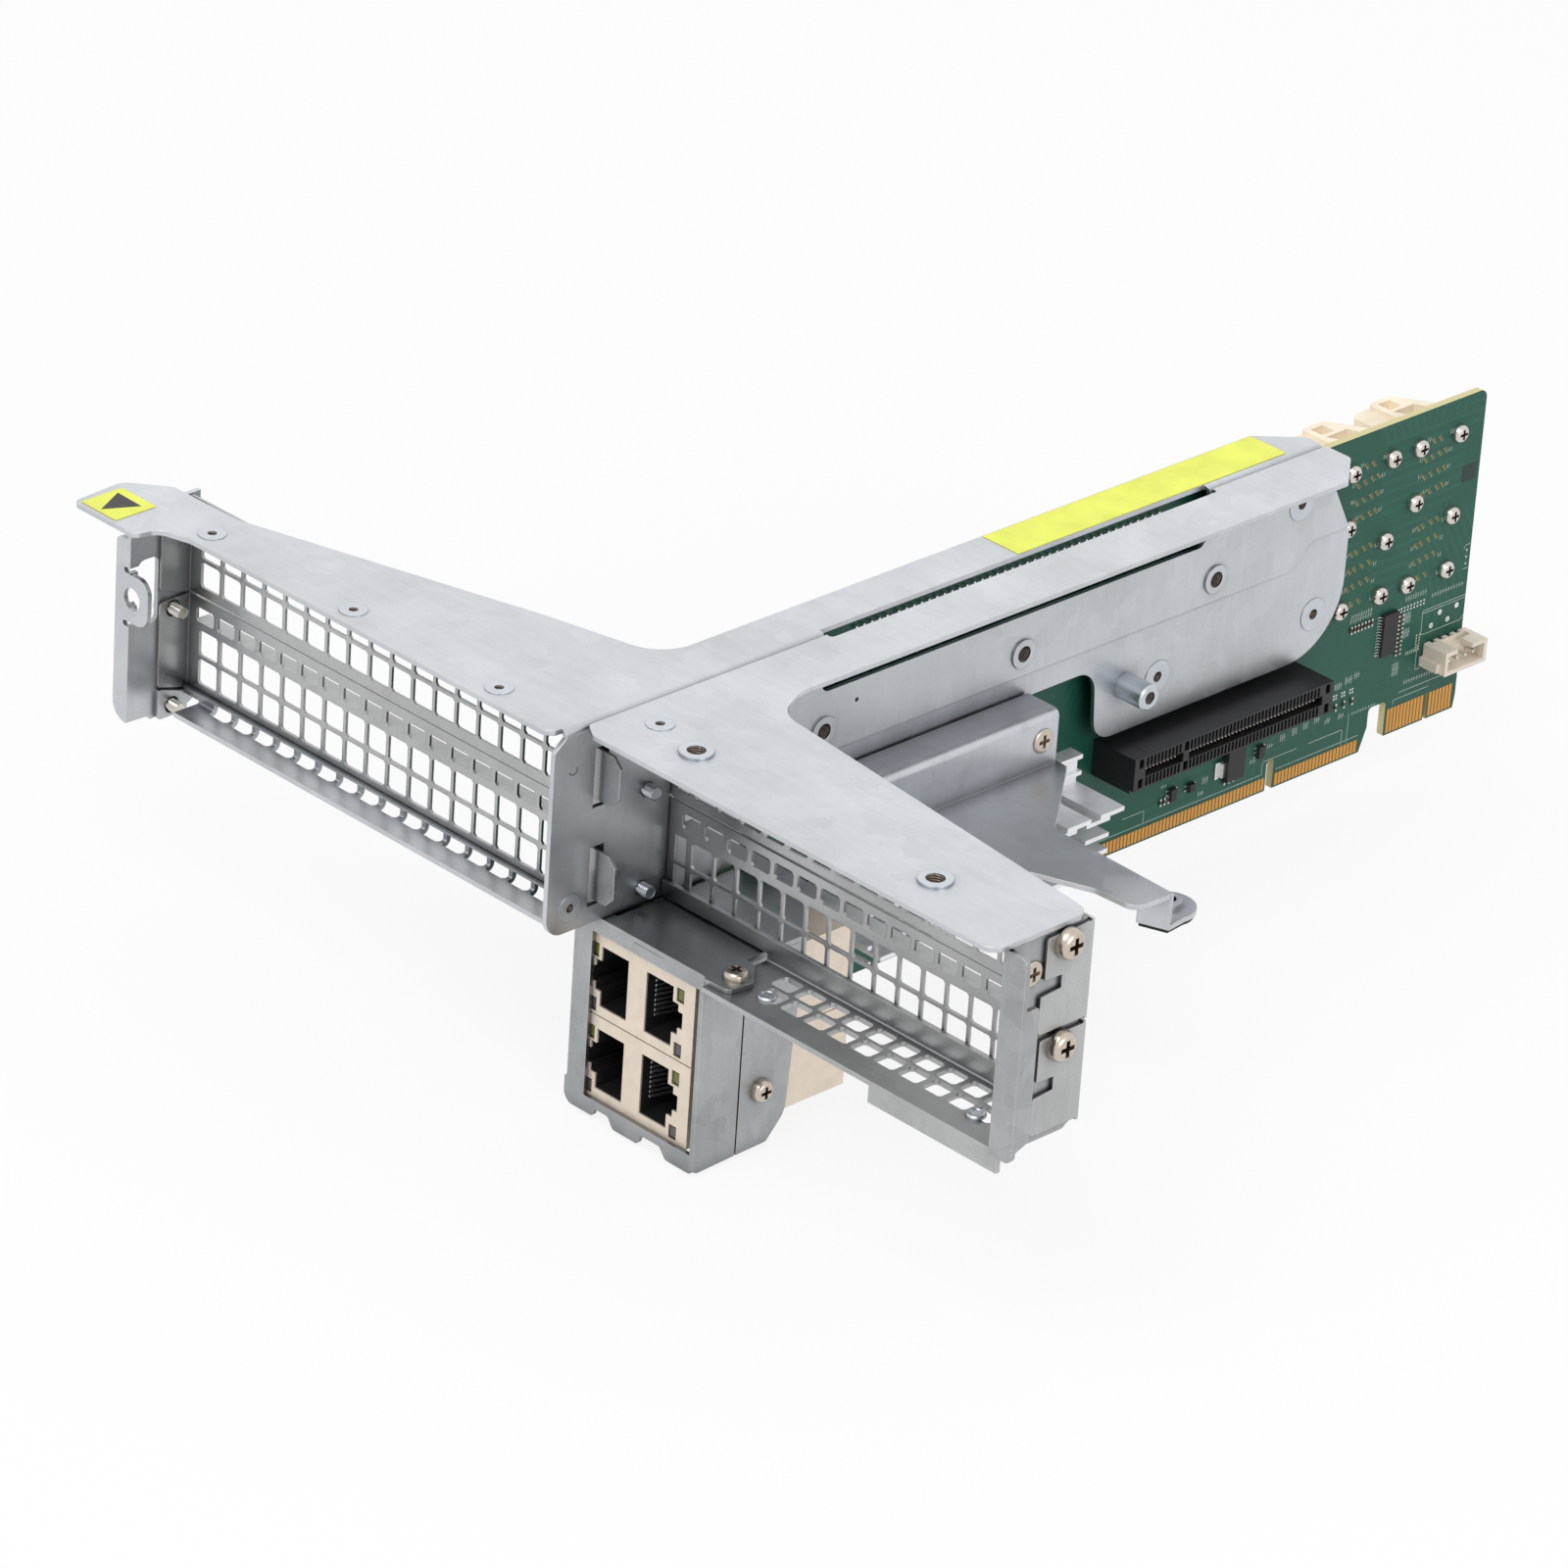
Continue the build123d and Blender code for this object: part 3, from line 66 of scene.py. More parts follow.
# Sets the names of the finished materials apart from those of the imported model
LOOK = "look_"


def place(x: float, y: float, z: float) -> Vector:
    """Point in metres from millimetres measured at the datum corner."""
    return (Vector((x, y, z)) + DATUM) * MM


def circle(radius: float, steps: int, centre: Spot = (0.0, 0.0)) -> list[Spot]:
    """Corners of a regular outline round a centre, counter-clockwise."""
    turns = [2 * math.pi * i / steps for i in range(steps)]
    return [(centre[0] + radius * math.cos(t), centre[1] + radius * math.sin(t)) for t in turns]


class Facing(Enum):
    """Direction a small piece looks in, as its normal, its right and its up."""

    PLUS_X = ((1, 0, 0), (0, 1, 0), (0, 0, 1))
    MINUS_X = ((-1, 0, 0), (0, -1, 0), (0, 0, 1))
    MINUS_Y = ((0, -1, 0), (1, 0, 0), (0, 0, 1))
    UP = ((0, 0, 1), (1, 0, 0), (0, 1, 0))

    def matrix(self, centre: Vector) -> Matrix:
        """Placement whose local x, y, z are the right, the up and the normal.

        Args:
            centre: origin of the placement, in metres.

        Returns:
            The placement as a 4 by 4 matrix.
        """
        normal, right, up = (Vector(axis) for axis in self.value)
        turn = Matrix((right, up, normal)).transposed().to_4x4()
        return Matrix.Translation(centre) @ turn


# The board's near face, whose spots lie along and up the board
NEAR_FACE = Facing.PLUS_X.matrix(place(BOARD_FACE, 0, 0))


class Shader:
    """Thin helper that adds and links the nodes of one material or world."""

    def __init__(self, owner: bpy.types.Material | bpy.types.World) -> None:
        """Start on the node tree of a new material or world.

        Args:
            owner: the material or world.
        """
        owner.use_nodes = True
        self.owner = owner
        self.tree = owner.node_tree
        self.coords = self.node("TexCoord").outputs["Object"]

    def node(self, kind: str, links: dict | None = None, **settings: object) -> bpy.types.Node:
        """Add a node.

        Args:
            kind: the node's type without its ShaderNode prefix.
            links: input to a value or to another node's output, or to None to leave it alone.
            **settings: attributes of the node itself.

        Returns:
            The new node.
        """
        made = self.tree.nodes.new("ShaderNode" + kind)
        for key, value in settings.items():
            setattr(made, key, value)
        for key, value in (links or {}).items():
            self.put(made.inputs[key], value)
        return made

    def put(self, socket: Socket, value: object) -> None:
        """Set an input, or link an output to it.

        Args:
            socket: the input.
            value: a plain value, another node's output, or None for no change.
        """
        if isinstance(value, Socket):
            self.tree.links.new(value, socket)
        elif value is not None:
            socket.default_value = value

    def surface(self, **inputs: object) -> None:
        """Set inputs of the Principled shader, with underscores for spaces."""
        for key, value in inputs.items():
            self.put(self.tree.nodes["Principled BSDF"].inputs[key.replace("_", " ")], value)

    def stretched(self, scale: Point) -> Socket:
        """Object coordinates scaled by axis."""
        return self.node("Mapping", {"Vector": self.coords, "Scale": scale}).outputs["Vector"]

    def noise(self, scale: float, detail: float = 3.0, vector: Socket | None = None) -> Socket:
        """Noise factor by cells per metre, octaves and coordinates, or else the object's own."""
        links = {"Vector": vector or self.coords, "Scale": scale, "Detail": detail, "Roughness": 0.55}
        return self.node("TexNoise", links).outputs[0]

    def ramp(self, factor: Socket, stops: list[tuple[float, tuple]]) -> Socket:
        """Colour ramp.

        Args:
            factor: the value that is looked up.
            stops: positions and colours, from low to high.

        Returns:
            The ramp's colour.
        """
        made = self.node("ValToRGB", {"Fac": factor})
        elements = made.color_ramp.elements
        while len(elements) < len(stops):
            elements.new(0.5)
        for element, (position, colour) in zip(elements, stops):
            element.position = position
            element.color = (*colour, 1.0)
        return made.outputs["Color"]

    def math(self, operation: str, first: object, second: object = 0.0) -> Socket:
        """Result of a Math node."""
        return self.node("Math", {0: first, 1: second}, operation=operation).outputs[0]

    def span(self, factor: Socket, low: float, high: float, start: float = 0.0, end: float = 1.0) -> Socket:
        """Factor mapped from start..end to low..high."""
        links = {"Value": factor, "From Min": start, "From Max": end, "To Min": low, "To Max": high}
        return self.node("MapRange", links).outputs["Result"]

    def mix(self, factor: object, first: object, second: object, blend: str = "MIX") -> Socket:
        """Colour mix of two colours or outputs."""
        links = {"Factor": factor, 6: first, 7: second}
        return self.node("Mix", links, data_type="RGBA", blend_type=blend).outputs[2]

    def soft_edges(self, radius: float) -> Socket:
        """Normal that rounds sharp edges by a radius in metres."""
        return self.node("Bevel", {"Radius": radius}, samples=4).outputs["Normal"]

    def edge_highlight_mask(self) -> Socket:
        """Find the sharp edges.

        Returns:
            Factor that is 0 on flat faces and 1 along sharp edges.
        """
        flat = self.node("NewGeometry").outputs["Normal"]
        links = {0: self.soft_edges(0.0004), 1: flat}
        along = self.node("VectorMath", links, operation="DOT_PRODUCT").outputs["Value"]
        return self.span(along, 1.0, 0.0, 0.75, 0.985)

    def recess(self, reach: float, darkest: float, start: float = 0.1, end: float = 0.85) -> Socket:
        """Painted shade: factor that is 1 in the open and falls to the darkest value among faces within
        reach.
        """
        found = self.node("AmbientOcclusion", {"Distance": reach}, samples=5).outputs["AO"]
        return self.span(found, darkest, 1.0, start, end)

    def bump(self, height: Socket, depth: float, strength: float, normal: Socket | None = None) -> Socket:
        """Normal bumped by a height signal, whose full step is a depth in metres."""
        links = {"Height": height, "Distance": depth, "Strength": strength, "Normal": normal}
        return self.node("Bump", links).outputs["Normal"]

    def seen(self) -> Socket:
        """Tell the rays by which the camera sees something from those that light it.

        Returns:
            Factor that is 1 for rays of the camera, of mirrors and through glass.
        """
        rays = self.node("LightPath").outputs
        bent = self.math("MAXIMUM", rays["Is Glossy Ray"], rays["Is Transmission Ray"])
        return self.math("MAXIMUM", rays["Is Camera Ray"], bent)


@dataclass(frozen=True)
class SheetMetal:
    """Zinc-coated or plated metal with grain and faint crystals, with painted highlight on its bright edges
    and painted shade in its recesses.

    Attributes:
        crystal: size of a zinc crystal, in metres.
        crystals: how much the crystals differ in tone.
        shade: share of its colour that is left deep in a recess, where the colour is darkened as painted
            shade.
    """

    name: str
    dark: Point
    light: Point
    rough: float = 0.34
    crystal: float = 0.006
    crystals: float = 0.12
    edge: float = 0.00025
    shade: float = 0.42

    def build(self) -> bpy.types.Material:
        """Make the material.

        Returns:
            The material.
        """
        s = Shader(bpy.data.materials.new(LOOK + self.name))
        wobble = s.node("TexNoise", {"Vector": s.coords, "Scale": 260.0, "Detail": 2.0}).outputs["Color"]
        warped = s.mix(0.006, s.coords, wobble, "ADD")
        cells = s.node("TexVoronoi", {"Vector": warped, "Scale": 1.0 / self.crystal})
        tone = s.node("SeparateColor", {"Color": cells.outputs["Color"]}).outputs[0]
        cloud = s.noise(38.0, 4.0)
        grain = s.noise(1500.0, 2.0)
        streak = s.noise(620.0, 3.0, s.stretched((0.10, 1.0, 0.10)))
        level = s.math("ADD", s.span(tone, -self.crystals, self.crystals), cloud)
        level = s.math("ADD", level, s.span(grain, -0.12, 0.12))
        level = s.math("ADD", level, s.span(streak, -0.06, 0.06, 0.3, 0.7))
        base = s.ramp(level, [(0.15, self.dark), (0.85, self.light)])
        stain = s.span(s.noise(14.0, 6.0), 0.0, 0.35, 0.55, 0.8)
        base = s.mix(stain, base, (*(channel * 0.72 for channel in self.dark), 1.0))
        # Painted highlight: the colour is lightened along the sharp edges.
        base = s.mix(s.math("MULTIPLY", s.edge_highlight_mask(), 0.4), base, (0.74, 0.72, 0.69, 1.0))
        # Painted shade: the colour is darkened where other faces stand within 32 mm, and more so within 4
        # mm.
        painted_shade_factor = s.math("MULTIPLY", s.recess(0.032, self.shade), s.recess(0.004, 0.25, 0.4, 0.95))
        base = s.mix(painted_shade_factor, s.mix(1.0, base, (0.30, 0.30, 0.31, 1.0), "MULTIPLY"), base)
        rubbed = s.noise(90.0, 5.0, s.stretched((1.0, 0.12, 1.0)))
        rough = s.span(rubbed, self.rough - 0.08, self.rough + 0.12)
        rough = s.math("ADD", rough, s.span(tone, -0.04, 0.04))
        rounded = s.soft_edges(self.edge)
        height = s.math("ADD", s.math("MULTIPLY", grain, 0.35), s.math("MULTIPLY", tone, 0.25))
        s.surface(Base_Color=base, Metallic=1.0, Roughness=rough,
                  Normal=s.bump(height, 0.00001, 0.5, rounded))
        return s.owner


@dataclass(frozen=True)
class Moulding:
    """Moulded plastic, rubber or printed film.

    Attributes:
        dull: share of the colour that is left in the dull clouds.
        bright: level of the clouds from which the colour is full.
        wear: how far the roughness goes above its value.
    """

    name: str
    colour: Point
    rough: float = 0.45
    texture: float = 0.00001
    edge: float = 0.00015
    metallic: float = 0.0
    cloud: Spot = (160.0, 3.0)
    fine: Spot = (2600.0, 3.0)
    dull: float = 0.86
    bright: float = 0.7
    wear: float = 0.08

    def build(self) -> bpy.types.Material:
        """Make the material.

        Returns:
            The material.
        """
        s = Shader(bpy.data.materials.new(LOOK + self.name))
        cloud, fine = s.noise(*self.cloud), s.noise(*self.fine)
        dull = tuple(channel * self.dull for channel in self.colour)
        uneven = cloud if self.metallic else fine
        s.surface(Base_Color=s.ramp(cloud, [(0.3, dull), (self.bright, self.colour)]),
                  Metallic=self.metallic,
                  Roughness=s.span(uneven, self.rough - 0.06, self.rough + self.wear),
                  Normal=s.bump(fine, self.texture, 0.6, s.soft_edges(self.edge)))
        return s.owner


@dataclass(frozen=True)
class Plating(Moulding):
    """Bright plated or cast metal, plain apart from fine grain and handling marks."""

    rough: float = 0.25
    texture: float = 0.000004
    edge: float = 0.00012
    metallic: float = 1.0
    cloud: Spot = (420.0, 4.0)
    fine: Spot = (4200.0, 2.0)
    dull: float = 0.9
    bright: float = 0.65
    wear: float = 0.12


@dataclass(frozen=True)
class BoardMask:
    """Green solder mask over copper, with the laminate showing at the board's edges.

    Attributes:
        pitch: width of a bundle of traces, in metres.
    """

    name: str
    deep: Point
    over_copper: Point
    laminate: Point
    pitch: float = 0.0011

    def build(self) -> bpy.types.Material:
        """Make the material.

        Returns:
            The material.
        """
        s = Shader(bpy.data.materials.new(LOOK + self.name))
        split = s.node("SeparateXYZ", {"Vector": s.coords})
        y, z = split.outputs["Y"], split.outputs["Z"]
        region = s.node("TexVoronoi", {"Vector": s.coords, "Scale": 62.0}, distance="CHEBYCHEV")
        choice = s.node("SeparateColor", {"Color": region.outputs["Color"]})
        across = s.math("GREATER_THAN", choice.outputs[0], 0.5)
        slant = s.math("ADD", y, s.math("MULTIPLY", z, s.span(choice.outputs[1], -1.0, 1.0)))
        run = s.mix(across, s.node("CombineXYZ", {"X": slant}).outputs[0],
                    s.node("CombineXYZ", {"X": z}).outputs[0])
        lane = s.node("SeparateXYZ", {"Vector": run}).outputs["X"]
        wave = s.math("PINGPONG", s.math("MULTIPLY", lane, 1.0 / self.pitch), 1.0)
        trace = s.math("LESS_THAN", wave, 0.42)
        present = s.math("GREATER_THAN", choice.outputs[2], 0.45)
        trace = s.math("MULTIPLY", trace, present)
        cloud = s.noise(24.0, 3.0)
        plane = s.mix(s.span(cloud, 0.0, 0.5), (*self.deep, 1), (*self.over_copper, 1))
        mask = s.mix(s.math("MULTIPLY", trace, 0.55), plane, (*self.over_copper, 1))
        normal = s.node("SeparateXYZ", {"Vector": s.node("NewGeometry").outputs["True Normal"]})
        side = s.math("LESS_THAN", s.math("ABSOLUTE", normal.outputs["X"]), 0.5)
        base = s.mix(side, mask, (*self.laminate, 1))
        # Painted shade: the mask darkens towards near black where parts stand within 12 mm.
        base = s.mix(s.recess(0.012, 0.2), (0.004, 0.012, 0.010, 1), base)
        s.surface(Base_Color=base, Roughness=s.span(side, 0.42, 0.6), Specular_IOR_Level=0.35,
                  Normal=s.bump(trace, 0.000012, 0.5))
        return s.owner


class Finish(Enum):
    """The finishes of the card, by the record's material slot."""

    STEEL = SheetMetal("galvanised_steel", (0.50, 0.52, 0.54), (0.665, 0.69, 0.725))
    # Darker copy of the galvanised steel, for parts that stand more in shade: painted shade.
    STEEL_GREY = SheetMetal("half_shaded_steel", (0.31, 0.32, 0.325), (0.50, 0.515, 0.52), crystal=0.004,
                            crystals=0.10)
    # Another darker copy of the galvanised steel, for the covers and the tray: painted shade.
    STEEL_DARK = SheetMetal("shaded_steel", (0.37, 0.375, 0.375), (0.56, 0.57, 0.57), rough=0.3,
                            crystals=0.08)
    SHIELD = Plating("jack_shield", (0.80, 0.70, 0.59), rough=0.42, metallic=0.6)
    GOLD = Plating("gold_contact", (0.66, 0.35, 0.09), rough=0.32)
    BRONZE = Plating("contact_gap", (0.22, 0.10, 0.03), rough=0.5, metallic=0.5)
    PAD = Plating("gold_pad", (0.62, 0.40, 0.10), rough=0.35, metallic=0.6)
    BLACK = Moulding("black_plastic", (0.012, 0.012, 0.013), rough=0.42)
    CHIP = Moulding("chip_black", (0.016, 0.016, 0.017), rough=0.55)
    RUBBER = Moulding("black_rubber", (0.012, 0.012, 0.012), rough=0.75, texture=0.00004)
    BOARD = BoardMask("board_green", (0.004, 0.070, 0.044), (0.012, 0.098, 0.066), (0.62, 0.56, 0.30))
    SINK = Plating("sink_aluminium", (0.90, 0.91, 0.93), rough=0.5, texture=0.000001)
    CREAM = Moulding("cream_plastic", (0.97, 0.86, 0.68), rough=0.45)
    WHITE = Moulding("white_plastic", (0.74, 0.66, 0.56), rough=0.45)
    NICKEL = Plating("nickel_screw", (0.68, 0.64, 0.59), rough=0.16)
    # Dark brown of the screws' cross recesses: painted shade in the recess.
    DRIVE = Plating("drive_recess", (0.16, 0.11, 0.08), rough=0.45)
    # Pale, partly non-metallic contact finish that makes the slot's contacts show as bright dots: the
    # contacts' pale metal with a painted highlight.
    TIP = Plating("contact_tip", (0.72, 0.68, 0.60), rough=0.4, metallic=0.3)
    WARM = Plating("cover_screw", (0.60, 0.53, 0.45), rough=0.24)
    # Dark brown of the threads inside the bores: painted shade.
    BORE = Plating("bore_thread", (0.17, 0.145, 0.12), rough=0.35)
    ZINC = Plating("zinc_nut", (0.60, 0.64, 0.68), rough=0.32)
    SOLDER = Plating("solder", (0.76, 0.77, 0.76), rough=0.3)
    GREEN_LENS = Moulding("status_window", (0.13, 0.15, 0.02), rough=0.2)
    GREY_LENS = Moulding("status_window_grey", (0.10, 0.085, 0.09), rough=0.2)
    YELLOW = Moulding("yellow_label", (0.80, 0.85, 0.11), rough=0.5, texture=0.000003)
    INK = Moulding("label_ink", (0.03, 0.03, 0.03), rough=0.5, texture=0.000002)
    SILK = Moulding("board_print", (0.50, 0.58, 0.54), rough=0.6, texture=0.000002)
    DARK_MASK = Moulding("dark_patch", (0.008, 0.030, 0.026), rough=0.5, texture=0.000002)
    VIA = Moulding("via_mask", (0.03, 0.13, 0.09), rough=0.4, texture=0.000002)
    RESIN = Moulding("capacitor_brown", (0.10, 0.06, 0.035), rough=0.45)
    # Near black that stands for the shade in holes, slits and pressed marks: painted shade.
    HOLE = Moulding("painted_recess_shade", (0.01, 0.01, 0.01), rough=0.8)

    @property
    def material(self) -> bpy.types.Material:
        """The finish's material, made the first time it is asked for."""
        found = bpy.data.materials.get(LOOK + self.value.name)
        return found or self.value.build()


Coats = tuple[tuple[Finish, tuple[str, ...]], ...]


@dataclass
class Part:
    """A sub-assembly, which coats its CAD nodes and adds its small pieces.

    Attributes:
        coats: each finish with the CAD nodes that wear it.
    """

    coats: Coats = ()

    def dress(self) -> None:
        """Give every material slot of the part's CAD nodes its finish."""
        for finish, nodes in self.coats:
            for slot in (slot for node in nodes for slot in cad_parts[node].material_slots):
                slot.material = finish.material


class Piece:
    """One mesh under construction, in metres in the row frame."""

    def __init__(self, name: str, finish: Finish, slot: str = "") -> None:
        """Start an empty piece.

        Args:
            name: the object's name.
            finish: its finish.
            slot: the record's material slot that the finish belongs to, if it has one; it is stored, but
                not used.
        """
        self.name = name
        self.finish = finish
        self.slot = slot
        self.mesh = bmesh.new()

    def ring(self, at: Matrix, spots: list[Spot], height: float) -> list[bmesh.types.BMVert]:
        """Add corners at a height above spots of a placement's plane, in millimetres."""
        points = [Vector((x * MM, y * MM, height * MM)) for x, y in spots]
        return [self.mesh.verts.new(at @ point) for point in points]

    def bridge(self, low: list[bmesh.types.BMVert], high: list[bmesh.types.BMVert]) -> None:
        """Join two rings with faces.

        Args:
            low: one ring's corners, or a single corner.
            high: the other ring's corners, as many, or a single corner.
        """
        steps = max(len(low), len(high))
        for i in range(steps):
            j = (i + 1) % steps
            corners = [low[i % len(low)], low[j % len(low)], high[j % len(high)], high[i % len(high)]]
            self.mesh.faces.new(list(dict.fromkeys(corners)))

    def prism(self, outline: list[Spot], at: Matrix, height: float, taper: float = 1.0) -> None:
        """Add an upright prism on a placement.

        Args:
            outline: corners in millimetres, counter-clockwise.
            at: placement of the outline's plane.
            height: height in millimetres along the placement's normal.
            taper: scale of the top against the foot.
        """
        foot = self.ring(at, outline, 0)
        top = self.ring(at, [(x * taper, y * taper) for x, y in outline], height)
        self.mesh.faces.new(top)
        self.mesh.faces.new(list(reversed(foot)))
        self.bridge(foot, top)

    def box(self, at: Matrix, width: float, height: float, depth: float, taper: float = 1.0) -> None:
        """Add a block, centred on a placement, that stands out by its depth in millimetres."""
        w, h = width / 2, height / 2
        self.prism([(-w, -h), (w, -h), (w, h), (-w, h)], at, depth, taper)

    def plate(self, at: Matrix, edges: Span, height: float) -> None:
        """Add a block over a placement's plane, by its left, right, lower and upper edge."""
        x0, x1, y0, y1 = edges
        self.prism([(x0, y0), (x1, y0), (x1, y1), (x0, y1)], at, height)

    def block(self, low: Point, high: Point) -> None:
        """Add a block between two corners, in millimetres from the datum corner."""
        (x0, y0, z0), (x1, y1, z1) = low, high
        self.box(Facing.UP.matrix(place((x0 + x1) / 2, (y0 + y1) / 2, z0)), x1 - x0, y1 - y0, z1 - z0)

    def mount(self, spot: Spot, half: Spot, height: float) -> None:
        """Add a block on the board's near face, by its middle, half sizes and height."""
        (y, z), (w, h) = spot, half
        self.block((BOARD_FACE, y - w, z - h), (BOARD_FACE + height, y + w, z + h))

    def disc(self, at: Matrix, spot: Spot, radius: float, height: float, steps: int) -> None:
        """Add a flat disc at a spot of a placement's plane, all in millimetres."""
        self.prism(circle(radius, steps, spot), at, height)

    def stroke(self, at: Matrix, start: Spot, end: Spot, width: float = 0.14) -> None:
        """Add a thin printed line.

        Args:
            at: placement of the plane that it is printed on.
            start: one end in millimetres.
            end: the other end.
            width: width of the line.
        """
        (a, b), (c, d) = start, end
        length = math.hypot(c - a, d - b)
        u, v = (c - a) / length * width / 2, (d - b) / length * width / 2
        self.prism([(a - u + v, b - v - u), (c + u + v, d + v - u), (c + u - v, d + v + u),
                    (a - u - v, b - v + u)], at, FILM)

    def lathe(self, profile: list[Spot], at: Matrix, steps: int) -> None:
        """Add a turned form about a placement's normal.

        Args:
            profile: radius and height in millimetres, from the foot's centre outwards and up.
            at: placement of the axis.
            steps: facets round the axis.
        """
        rings = [self.ring(at, circle(r, steps if r else 1), height) for r, height in profile]
        for low, high in zip(rings, rings[1:]):
            self.bridge(low, high)

    def thread(self, at: Matrix, radius: float, groove: float, length: float, steps: int = 18) -> None:
        """Add a screw thread that goes down from a placement.

        Args:
            at: placement of the thread's upper end.
            radius: the largest radius in millimetres.
            groove: depth of the groove in millimetres.
            length: length of the thread in millimetres.
            steps: facets round the axis.
        """
        rows = max(2, int(length / THREAD_PITCH * 4))
        rings = []
        for j in range(rows + 1):
            height = length * j / rows - length
            rises = [(height / THREAD_PITCH - i / steps) % 1.0 for i in range(steps)]
            reaches = [1 - groove * abs(2 * rise - 1) / radius for rise in rises]
            spots = [(x * reach, y * reach) for (x, y), reach in zip(circle(radius, steps), reaches)]
            rings.append(self.ring(at, spots, height))
        for below, above in zip(rings, rings[1:]):
            self.bridge(below, above)

    def sheet_with_hole(self, at: Matrix, rim: list[Spot], rim_height: float, hole: list[Spot],
                        hole_height: float) -> None:
        """Add a face with a hole, whose rim and hole may lie at different heights.

        Args:
            at: placement of the face's plane.
            rim: outer corners in millimetres.
            rim_height: height of the rim along the normal.
            hole: the hole's corners.
            hole_height: height of the hole's edge.
        """
        corners = self.ring(at, rim, rim_height) + self.ring(at, hole, hole_height)
        loops = [[Vector((*spot, 0)) for spot in loop] for loop in (rim, hole)]
        for triangle in tessellate_polygon(loops):
            self.mesh.faces.new([corners[index] for index in triangle])

    def finish_up(self, replaces: tuple[str, ...] = (), smooth: bool = False) -> bpy.types.Object:
        """Turn the mesh into an object that rides on the card.

        Args:
            replaces: CAD nodes that the piece stands for.
            smooth: whether faces under 35 degrees apart are shaded smooth.

        Returns:
            The new object.
        """
        bmesh.ops.recalc_face_normals(self.mesh, faces=self.mesh.faces)
        data = bpy.data.meshes.new(self.name)
        self.mesh.to_mesh(data)
        self.mesh.free()
        item = bpy.data.objects.new(self.name, data)
        bpy.context.scene.collection.objects.link(item)
        data.materials.append(self.finish.material)
        if smooth:
            for polygon in data.polygons:
                polygon.use_smooth = True
            data.set_sharp_from_angle(angle=math.radians(35))
        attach(item, "root")
        if replaces:
            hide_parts(*replaces)
        LOG.info("%s: %d faces", self.name, len(data.polygons))
        return item


@dataclass
class SheetWork(Part):
    """The folded steel: bracket, wings, covers, cage, tray and arm.

    Attributes:
        arc: the crescent's ends, by the angle in degrees, and its number of strokes.
    """

    coats: Coats = (
        (Finish.STEEL, ("main_bracket", "right_bracket", "left_bottom_rail", "support_arm",
                        "left_end_bracket")),
        # The cage, side plate, end bracket, covers and tray wear darker copies of the steel: painted shade.
        (Finish.STEEL_GREY, ("port_cage", "cage_side_plate", "right_end_bracket")),
        (Finish.STEEL_DARK, ("upper_left_cover", "lower_left_cover", "upper_right_cover",
                             "lower_right_cover", "right_tray")),
        (Finish.RUBBER, ("arm_pad",)),
    )
    dot: Spot = (73.0, -16.4)
    dot_radius: float = 0.45
    crescent: Spot = (1.1, -8.4)
    arc: Disc = (200.0, 376.0, 8)

    def build(self) -> None:
        """Lay the small pressed marks on the bright sheet as thin dark films, painted shade in place of
        their hollows.
        """
        marks = Piece("sheet_marks", Finish.HOLE, "galvanised_steel")
        wall = Facing.PLUS_X.matrix(place(0, 0, 0))
        marks.disc(wall, self.dot, self.dot_radius, FILM, 14)
        first, last, count = self.arc
        turns = [math.radians(first + (last - first) * i / count) for i in range(count + 1)]
        bend = [(self.crescent[0] + math.cos(turn), self.crescent[1] + math.sin(turn)) for turn in turns]
        for start, end in zip(bend, bend[1:]):
            marks.stroke(wall, start, end)
        marks.finish_up()


@dataclass
class PortStack(Part):
    """Two jack units, each with two ports and four status windows.

    Attributes:
        rows: piece, finish and heights of the green and of the grey windows.
        lens: width, height, depth and taper of a window.
        rim: half width, depth and half height of its dark frame of painted shade.
    """

    coats: Coats = (
        (Finish.SHIELD, ("upper_ethernet_jack", "lower_ethernet_jack")),
        (Finish.BLACK, ("upper_jack_insulator", "lower_jack_insulator")),
        (Finish.SOLDER, ("upper_jack_contacts", "lower_jack_contacts")),
        (Finish.GREEN_LENS, ("status_windows",)),
    )
    columns: Spot = (20.35, -2.3)
    rows: tuple[tuple[str, Finish, Spot], ...] = (
        ("green_windows", Finish.GREEN_LENS, (-49.3, -66.45)),
        ("grey_windows", Finish.GREY_LENS, (-60.6, -77.75)),
    )
    front: float = 12.4
    lens: Span = (1.6, 2.5, 0.75, 0.86)
    rim: Point = (1.0, 0.4, 1.45)

    def build(self) -> None:
        """Set the green and the grey windows into dark frames: thin blocks of painted shade round each
        window.
        """
        frames = Piece("window_frames", Finish.HOLE, "status_window")
        w, d, h = self.rim
        for name, finish, heights in self.rows:
            lenses = Piece(name, finish, "status_window")
            for x, z in ((x, z) for x in self.columns for z in heights):
                frames.block((x - w, self.front, z - h), (x + w, self.front + d, z + h))
                lenses.box(Facing.MINUS_Y.matrix(place(x, self.front, z)), *self.lens)
            lenses.finish_up(("status_windows",))
        frames.finish_up(("status_windows",))


